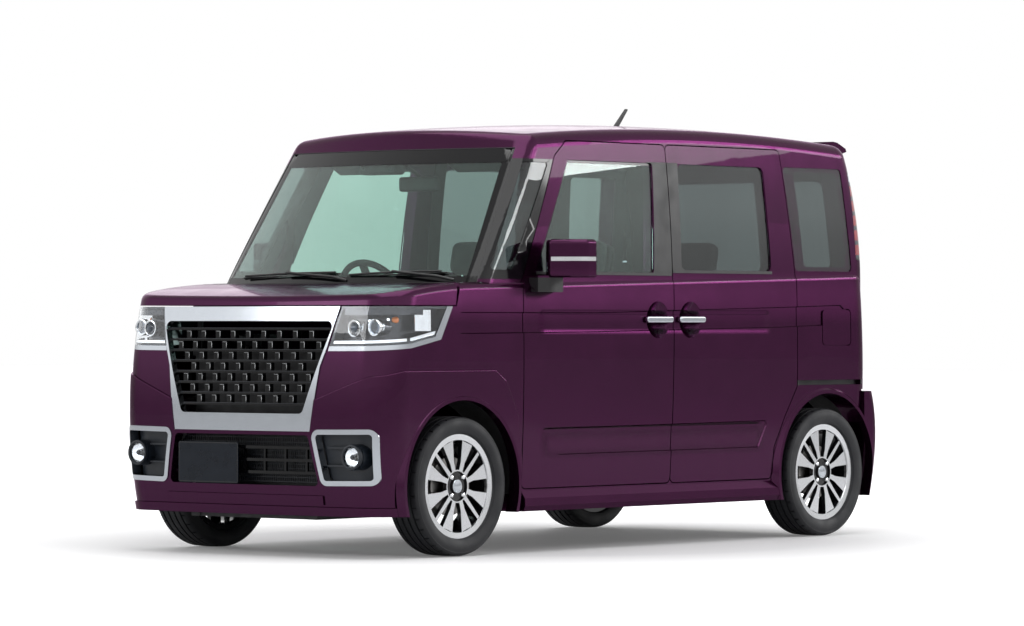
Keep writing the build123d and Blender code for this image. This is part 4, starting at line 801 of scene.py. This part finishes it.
PROJECTOR_RING = [(0.000, 0.0245), (0.010, 0.0262), (0.0125, 0.0300), (0.0115, 0.0335), (0.0050, 0.0345),
                  (-0.012, 0.0345), (-0.012, 0.0315), (0.000, 0.0315), (0.000, 0.0245)]
PROJECTORS = [(0.560, -1.620, 0.912), (0.640, -1.590, 0.916)]
LAMP_POINTS = [(0.535, -1.6120, 0.899), (0.602, -1.5860, 0.942), (0.668, -1.5500, 0.947)]
TURN_BULB = (0.664, -1.500, 0.946)
LAMP_FOOT = [(-1.309, 0.884), (-1.480, 0.852), (-1.800, 0.832)]
BAR_FROM, BAR_TO = 0.010, 0.022  # the guide bar's edges, above the foot of the lamp
for side_name, side in SIDES:
    out = (side, 0, 0)
    on_nose("projector_rings_" + side_name, [(turned(PROJECTOR_RING), place) for place in PROJECTORS],
            side, bright_chrome, 30)
    on_nose("projector_lenses_" + side_name,
            [(glass_dome(0.0245, 0.014), (x, y - 0.001, z)) for x, y, z in PROJECTORS], side, smoked_lens)
    on_nose("lamp_points_" + side_name, [(glass_dome(0.0045, 0.004), place) for place in LAMP_POINTS],
            side, small_light)
    on_nose("turn_bulb_" + side_name, [(glass_dome(0.013, 0.020), TURN_BULB)], side, amber)
    inner_patch("lamp_reflector_" + side_name, "headlamp_lenses", lamp_bright, [
        behind(-1.448), ahead(-1.352), above(0.902), below(0.986), beyond(side * 0.3)], 0.010, 0.0015, out)
    inner_patch("lamp_reflector_top_" + side_name, "headlamp_lenses", lamp_dark, [
        ahead(-1.40), above(0.966), below(0.992), beyond(side * 0.5)], 0.008, 0.0015, (side * 0.5, -0.85, 0))
    for count, ((y1, z1), (y2, z2)) in enumerate(zip(LAMP_FOOT, LAMP_FOOT[1:])):
        inner_patch("guide_bar_" + side_name + "_" + str(count), "headlamp_lenses", lamp_bright, [
            across((y1, z1 + BAR_FROM), (y2, z2 + BAR_FROM), -1.0),
            across((y1, z1 + BAR_TO), (y2, z2 + BAR_TO)),
            ahead(y1 - 0.02), behind(y2), beyond(side * 0.45)], 0.006, 0.0015, (side * 0.6, -0.8, 0))
    skin_patch("lamp_end_strip_" + side_name, "headlamp_lenses", satin_chrome, [
        across((-1.335, 0.880), (-1.262, 1.000), -1.0), beyond(side * 0.5)], 0.0012, out, 0.3)

# ---------------------------------------------------------------- grille, fog lamps and plate

grille = node_copy("grilles")
grille_surface = BVHTree.FromBMesh(grille)
grille.free()


def on_grille(sideways, up, proud=0.0):
    """Where a line from straight ahead first meets the grille, or a little in front of it."""
    hit = grille_surface.ray_cast(Vector((sideways, -3.0, up)), Vector((0, 1, 0)))[0]
    return hit + Vector((0, -proud, 0)) if hit else None


def upper_half(height):
    """Half the width of the upper grille at a height."""
    return 0.330 + 0.136 * (height - 0.573) / 0.369


GRILLE_TOP = 0.942
GRILLE_PITCH = 0.043
GRILLE_ROWS = 8
TOOTH_PITCH = 0.084
TOOTH_UP, TOOTH_ACROSS = 0.0125, 0.0105  # half a tooth's height and width
EDGE = 0.0022  # the thickness of the bright chrome strips on a tooth, which are painted highlights
edges = []
painted_glints = []
for row in range(GRILLE_ROWS):
    height = GRILLE_TOP - GRILLE_PITCH * (row + 0.75)
    half = upper_half(height) - 0.010
    line = [on_grille(half * step / 12, height + 0.0042, 0.0008) for step in range(-12, 13)]
    edges.append(rod([point for point in line if point], 0.0011, sides=4))
    if row == GRILLE_ROWS - 1:
        continue
    shift = TOOTH_PITCH / 2 if row % 2 else 0
    middle = height - GRILLE_PITCH / 2
    for column in range(-6, 6):
        place = column * TOOTH_PITCH + shift
        spot = on_grille(place, middle) if abs(place) < upper_half(middle) - 0.045 else None
        if spot:
            # painted highlights: bright chrome strips on each tooth's top and side, where the teeth catch light
            painted_glints.append(block((0.021, 0.003, EDGE), spot + Vector((0, 0.0005, TOOTH_UP)), 0.0006))
            painted_glints.append(block((EDGE, 0.003, 0.024), spot + Vector((TOOTH_ACROSS, 0.0005, 0)), 0.0006))
piece("grille_bar_edges", merged(edges), lamp_dark)
# the strips on the teeth are painted highlights in bright chrome
piece("grille_tooth_painted_glints", merged(painted_glints), bright_chrome)

mesh_bars = []
for step in range(11):
    height = 0.300 + 0.0175 * step
    half = 0.405 - 0.047 * (height - 0.287) / 0.201
    mesh_bars.append(block((2 * half - 0.02, 0.004, 0.0025), (0, -1.628, height)))
for step in range(-33, 34):
    mesh_bars.append(block((0.0022, 0.004, 0.185), (step * 0.0115, -1.626, 0.389)))
piece("lower_grille_mesh", merged(mesh_bars), blue_black)

FOG_X, FOG_Z = 0.587, 0.404
FOG_RING = [(0.000, 0.0395), (0.006, 0.0405), (0.009, 0.0440), (0.008, 0.0500), (0.000, 0.0520),
            (-0.006, 0.0520), (-0.006, 0.0400), (0.000, 0.0395)]
FOG_DISH = [(-0.008, 0.0), (-0.007, 0.012), (-0.003, 0.026), (0.004, 0.0365), (0.005, 0.0385), (0.002, 0.0385),
            (-0.012, 0.020), (-0.012, 0.0)]
FOG_BULB = [(0.010, 0.0), (0.008, 0.008), (0.0, 0.011), (-0.006, 0.011), (-0.006, 0.0)]
for side_name, side in SIDES:
    for name, mesh, y, material, crease in (
            ("fog_ring", turned(FOG_RING), -1.6725, blue_black, 30),
            ("fog_dish", turned(FOG_DISH, 40), -1.664, lamp_bright, 40),
            ("fog_bulb", turned(FOG_BULB, 24), -1.6645, lamp_dark, 40),
            ("fog_glass", glass_dome(0.039, 0.008), -1.671, lens, 60)):
        on_nose(name + "_" + side_name, [(mesh, (FOG_X, y, FOG_Z))], side, material, crease)

FRAME_BAR = 0.004
low, high = (Vector(corner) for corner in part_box("front_plate"))
centre = (low + high) / 2
width, height = high.x - low.x - FRAME_BAR, high.z - low.z - FRAME_BAR
bars = [block((width, 0.003, FRAME_BAR), (centre.x, low.y + 0.001, up), 0.001)
        for up in (low.z + FRAME_BAR, high.z - FRAME_BAR)]
bars += [block((FRAME_BAR, 0.003, height), (sideways, low.y + 0.001, centre.z), 0.001)
         for sideways in (low.x + FRAME_BAR, high.x - FRAME_BAR)]
piece("front_plate_frame", merged(bars), black_trim)

# ---------------------------------------------------------------- seats

SWELL_LIMIT = 0.009
CLOTH_FRAMES = 14
PRESSURE = 4.0
VOXEL = 0.009


def swollen(name, mesh):
    """A pad blown up by a short cloth simulation, as a new mesh."""
    obj = new_object(name, as_data(name, mesh))
    bpy.context.view_layer.objects.active = obj

    def settle():
        graph = bpy.context.evaluated_depsgraph_get()
        data = bpy.data.meshes.new_from_object(obj.evaluated_get(graph))
        obj.modifiers.clear()
        obj.data = data
        return data

    remesh = obj.modifiers.new("skin", "REMESH")
    remesh.mode = "VOXEL"
    remesh.voxel_size = VOXEL
    before = [vert.co.copy() for vert in settle().vertices]
    cloth = obj.modifiers.new("cloth", "CLOTH")
    cloth.settings.use_pressure = True
    cloth.settings.uniform_pressure_force = PRESSURE
    cloth.settings.effector_weights.gravity = 0.0
    cloth.settings.tension_stiffness = 25
    cloth.settings.quality = 4
    cloth.point_cache.frame_start = 1
    cloth.point_cache.frame_end = CLOTH_FRAMES
    for moment in range(1, CLOTH_FRAMES + 1):
        bpy.context.scene.frame_set(moment)
    for vert, start in zip(settle().vertices, before):
        moved = vert.co - start
        if moved.length > SWELL_LIMIT:
            vert.co = start + moved * (SWELL_LIMIT / moved.length)
    bpy.context.scene.frame_set(1)
    result = bmesh.new()
    result.from_mesh(obj.data)
    bpy.data.objects.remove(obj)
    for _ in range(2):
        bmesh.ops.smooth_vert(result, verts=result.verts, factor=0.5,
                              use_axis_x=True, use_axis_y=True, use_axis_z=True)
    return result


def channelled(mesh, places, along, depth=0.006, width=0.010):
    """Presses sewn channels into a pad at some places along one axis."""
    for vert in mesh.verts:
        for place in places:
            gap = abs(vert.co[along] - place)
            if gap < 3 * width:
                vert.co -= vert.normal * depth * math.exp(-(gap / width) ** 2)


def pad(size, place, lean=0.0, rounding=0.045):
    """The plain start of a cushion: a rounded block, leaned back."""
    mesh = block(size, (0, 0, 0), rounding, 4)
    turn = Matrix.Translation(place) @ Matrix.Rotation(lean, 4, "X")
    bmesh.ops.transform(mesh, matrix=turn, verts=mesh.verts)
    return mesh


def bolstered(mesh, half, up_axis, lift):
    """Raises the sides of a pad into bolsters."""
    mesh.normal_update()
    for vert in mesh.verts:
        share = min(abs(vert.co.x) / half, 1.0)
        if vert.normal[up_axis] * (1 if lift > 0 else -1) > 0.2:
            vert.co[up_axis] += lift * max(0.0, share - 0.55) ** 2 * 3.0
    mesh.normal_update()


# what both seat rows share
CUSHION_DEPTH, CUSHION_LOW, CUSHION_TOP, SHELL_TOP = 0.430, 0.512, 0.640, 0.510
BACK_LOW, BACK_HIGH, LEAN = 0.560, 1.105, 0.20
SHELL_FOOT = 0.285
BOLSTER = 0.020
X, Y, Z = 0, 1, 2


def seat_set(width, hip):
    """Cushion, back and head rest of one seat in the middle of the car, as finished pads."""
    cushion = swollen("cushion", pad(
        (width - 0.03, CUSHION_DEPTH - 0.02, CUSHION_TOP - CUSHION_LOW - 0.012),
        (0, hip - CUSHION_DEPTH / 2 + 0.01, (CUSHION_TOP + CUSHION_LOW) / 2 - 0.003)))
    bolstered(cushion, width / 2, Z, BOLSTER)
    channelled(cushion, (-width * 0.26, width * 0.26), X)
    channelled(cushion, (hip - 0.14, hip - 0.28), Y, 0.004)
    tall = BACK_HIGH - BACK_LOW
    middle = (0, hip + 0.045 + tall / 2 * math.tan(LEAN), (BACK_LOW + BACK_HIGH) / 2)
    back = swollen("back", pad((width - 0.04, 0.105, tall - 0.02), middle, -LEAN, 0.04))
    bolstered(back, width / 2, Y, -BOLSTER)
    channelled(back, (-width * 0.25, width * 0.25), X)
    channelled(back, (BACK_LOW + tall * 0.36, BACK_LOW + tall * 0.66), Z, 0.004)
    rest = swollen("rest", pad((0.235, 0.085, 0.145), (0, hip + 0.113, 1.212), -LEAN, 0.035))
    return cushion, back, rest


def seat_base(width, hip, spot):
    """The moulded shell under a seat, its side panels and its slides."""
    middle = hip - CUSHION_DEPTH / 2
    shells = [block((width - 0.06, CUSHION_DEPTH - 0.05, SHELL_TOP - SHELL_FOOT),
                    (spot, middle, (SHELL_TOP + SHELL_FOOT) / 2), 0.025, 3)]
    for way in (-1, 1):
        shells.append(block((0.035, CUSHION_DEPTH - 0.05, 0.022),
                            (spot + way * (width / 2 - 0.07), middle, 0.275), 0.004))
        shells.append(block((0.028, 0.16, 0.09),
                            (spot + way * (width / 2 - 0.012), hip + 0.01, SHELL_TOP + 0.015), 0.012, 2))
    return merged(shells)


for label, stands_for, width, hip, spots in (("front_seat", "front_seats", 0.490, 0.0, (0.300, -0.300)),
                                             ("rear_seat", "rear_seats", 0.520, 0.790, (0.290, -0.290))):
    for part, mesh in zip(("cushion", "back", "head_rest"), seat_set(width, hip)):
        for count, spot in enumerate(spots, 1):
            obj = piece(label + "_" + part + "_" + str(count), copied(mesh, Matrix.Translation((spot, 0, 0))),
                        seat_cloth, "body", 60)
            smooth = obj.modifiers.new("smooth", "SUBSURF")
            smooth.levels = smooth.render_levels = 1
            if part == "cushion" and count == 1:
                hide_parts(stands_for)
        mesh.free()
    for count, spot in enumerate(spots, 1):
        piece(label + "_base_" + str(count), seat_base(width, hip, spot), cabin_black)
        stays = [rod([(spot + way * 0.055, hip + 0.085, 1.06), (spot + way * 0.055, hip + 0.106, 1.17)], 0.0065)
                 for way in (-1, 1)]
        piece(label + "_rest_stays_" + str(count), merged(stays), bright_chrome, "body", 60)

# ---------------------------------------------------------------- cabin fittings

MIRROR_X, MIRROR_Z = 0.02, 1.513
mirror_body = block((0.215, 0.030, 0.062), (MIRROR_X, -0.615, MIRROR_Z), 0.012, 3)
mirror_stem = rod([(MIRROR_X, -0.610, 1.535), (MIRROR_X, -0.640, 1.560), (MIRROR_X, -0.700, 1.585)], 0.009)
piece("cabin_mirror", merged([mirror_body, mirror_stem]), black_trim)
piece("cabin_mirror_glass", block((0.200, 0.002, 0.050), (MIRROR_X, -0.5995, MIRROR_Z), 0.0008), mirror_silver)
piece("screen_camera", block((0.200, 0.070, 0.050), (-0.08, -0.735, 1.575), 0.014, 3), black_trim)
on_nose("screen_camera_lenses",
        [(glass_dome(0.009, 0.004), (spot, -0.772, 1.577)) for spot in (-0.155, -0.005)], 1.0, display)
visor_turn = Matrix.Rotation(math.radians(62), 4, "X")
visors = [block((0.36, 0.012, 0.15), (way * 0.33, -0.585, 1.600), 0.005, 2, visor_turn) for way in (-1, 1)]
piece("sun_visors", merged(visors), cabin_light)
dash_high = Vector(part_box("dashboard")[1])
screen_place = (0.0, dash_high.y + 0.004, dash_high.z - 0.115)
piece("centre_display", block((0.190, 0.006, 0.110), screen_place, 0.003, 2), display)

# ---------------------------------------------------------------- tail

TAIL_BARS = (1.235, 1.300, 1.365, 1.430, 1.495)
TAIL_BAR_HEIGHT = 0.045
for side_name, side in SIDES:
    away = (side * 0.4, 0.9, 0)
    inner_patch("tail_back_" + side_name, "tail_lamps", lamp_dark, [
        above(1.222), below(1.600), beyond(side * 0.3)], 0.016, 0.002, away, 0.2)
    for count, low in enumerate(TAIL_BARS):
        inner_patch("tail_bar_" + side_name + "_" + str(count), "tail_lamps", tail_red, [
            above(low), below(low + TAIL_BAR_HEIGHT), beyond(side * 0.630)], 0.010, 0.003, away, 0.2)
    inner_patch("tail_turn_" + side_name, "tail_lamps", lamp_bright, [
        above(1.560), below(1.592), beyond(side * 0.3)], 0.010, 0.003, away, 0.2)
    # the slot that the sliding door's arm runs in
    skin_patch("rail_slot_" + side_name, "side_frame_" + side_name, black_trim, [
        above(0.6625), below(0.6835), behind(0.925), ahead(1.56), beyond(side * 0.55)],
        0.0008, (side, 0, 0), 0.5)

# ---------------------------------------------------------------- floor, light and camera

FLOOR_SIZE, FLOOR_DROP = 60.0, 0.0005
FLOOR_LIFT_NEAR, FLOOR_LIFT_FAR = 0.12, 0.95
FLOOR_FADE = (1.3, 3.6)
AMBIENT = 0.30
SKY_GLOW = 0.75
MIRRORED_SHARE = 0.30
WHITE = (1, 1, 1)


def seen_directly(tree):
    """1 for what the camera sees, also through glass, less for what gloss shows, 0 for light on surfaces."""
    path = tree.nodes.new("ShaderNodeLightPath").outputs
    glossy = product(tree, path["Is Glossy Ray"], MIRRORED_SHARE)
    return maths(tree, "MAXIMUM", path["Is Camera Ray"],
                 maths(tree, "MAXIMUM", glossy, path["Is Transmission Ray"]))


ground = bmesh.new()
bmesh.ops.create_grid(ground, x_segments=1, y_segments=1, size=FLOOR_SIZE)
bmesh.ops.translate(ground, verts=ground.verts, vec=(0, 0, -FLOOR_DROP))
floor = new_object("studio_floor", as_data("studio_floor", ground))
floor_material, floor_tree, floor_shader = new_material("pale_floor")
reach = floor_tree.nodes.new("ShaderNodeVectorMath")
reach.operation = "LENGTH"
floor_tree.links.new(object_place(floor_tree), reach.inputs[0])
lift = spread(floor_tree, reach.outputs["Value"], *FLOOR_FADE, FLOOR_LIFT_NEAR, FLOOR_LIFT_FAR)
lifted = product(floor_tree, lift, seen_directly(floor_tree))
for label, value in (("Base Color", (0.80, 0.80, 0.81)), ("Roughness", 0.6), ("Specular IOR Level", 0.2),
                     ("Emission Color", WHITE), ("Emission Strength", lifted)):
    feed(floor_tree, floor_shader.inputs[label], value)
floor.data.materials.append(floor_material)

world = bpy.data.worlds.new("studio")
bpy.context.scene.world = world
world.use_nodes = True
world_tree = world.node_tree
background = world_tree.nodes["Background"]
rise = axes_of(world_tree, world_tree.nodes.new("ShaderNodeTexCoord").outputs["Generated"])["Z"]
glow = spread(world_tree, rise, 0.02, 0.14, 0.0, SKY_GLOW)
fade = spread(world_tree, rise, 0.45, 0.80, 1.0, 0.35)
sky_path = world_tree.nodes.new("ShaderNodeLightPath").outputs
glow_seen = product(world_tree, glow, fade, sky_path["Is Glossy Ray"])
sky = spread(world_tree, seen_directly(world_tree), 0.0, 1.0, AMBIENT, 1.0)
feed(world_tree, background.inputs["Strength"], maths(world_tree, "ADD", glow_seen, sky))
feed(world_tree, background.inputs["Color"], WHITE)


def soft_box(name, place, aim, width, depth, brightness):
    """A rectangular light of an even brightness, seen in gloss but not by the camera."""
    light = bpy.data.lights.new(name, "AREA")
    light.shape = "RECTANGLE"
    light.size = width
    light.size_y = depth
    light.energy = brightness * math.pi * width * depth
    obj = new_object(name, light)
    obj.location = place
    obj.rotation_euler = (Vector(aim) - Vector(place)).to_track_quat("-Z", "Y").to_euler()
    obj.visible_camera = False


soft_box("overhead_box", (0.5, -0.5, 5.0), (0, 0, 0), 3.6, 7.0, 2.2)
soft_box("flank_box", (5.2, 6.4, 3.6), (0.6, 0, 1.0), 8.0, 1.1, 9.0)
soft_box("front_box", (-3.0, -8.5, 3.6), (0, -1.2, 0.7), 5.0, 1.2, 4.0)
soft_box("far_box", (-6.0, 6.5, 3.4), (0, 0, 1.2), 6.0, 1.2, 1.0)

camera_data = bpy.data.cameras.new("camera")
camera = new_object("camera", camera_data)
camera.location = (13.317, -15.884, 0.9375)
azimuth = math.radians(39.96)
elevation = math.radians(-0.107)
sight = Vector((-math.sin(azimuth) * math.cos(elevation), math.cos(azimuth) * math.cos(elevation),
                -math.sin(elevation)))
camera.rotation_euler = sight.to_track_quat("-Z", "Y").to_euler()
camera_data.sensor_width = 36.0
camera_data.lens = 170.25
camera_data.clip_end = 200.0
camera_data.dof.use_dof = False
bpy.context.scene.camera = camera
bpy.context.scene.view_settings.view_transform = "Standard"
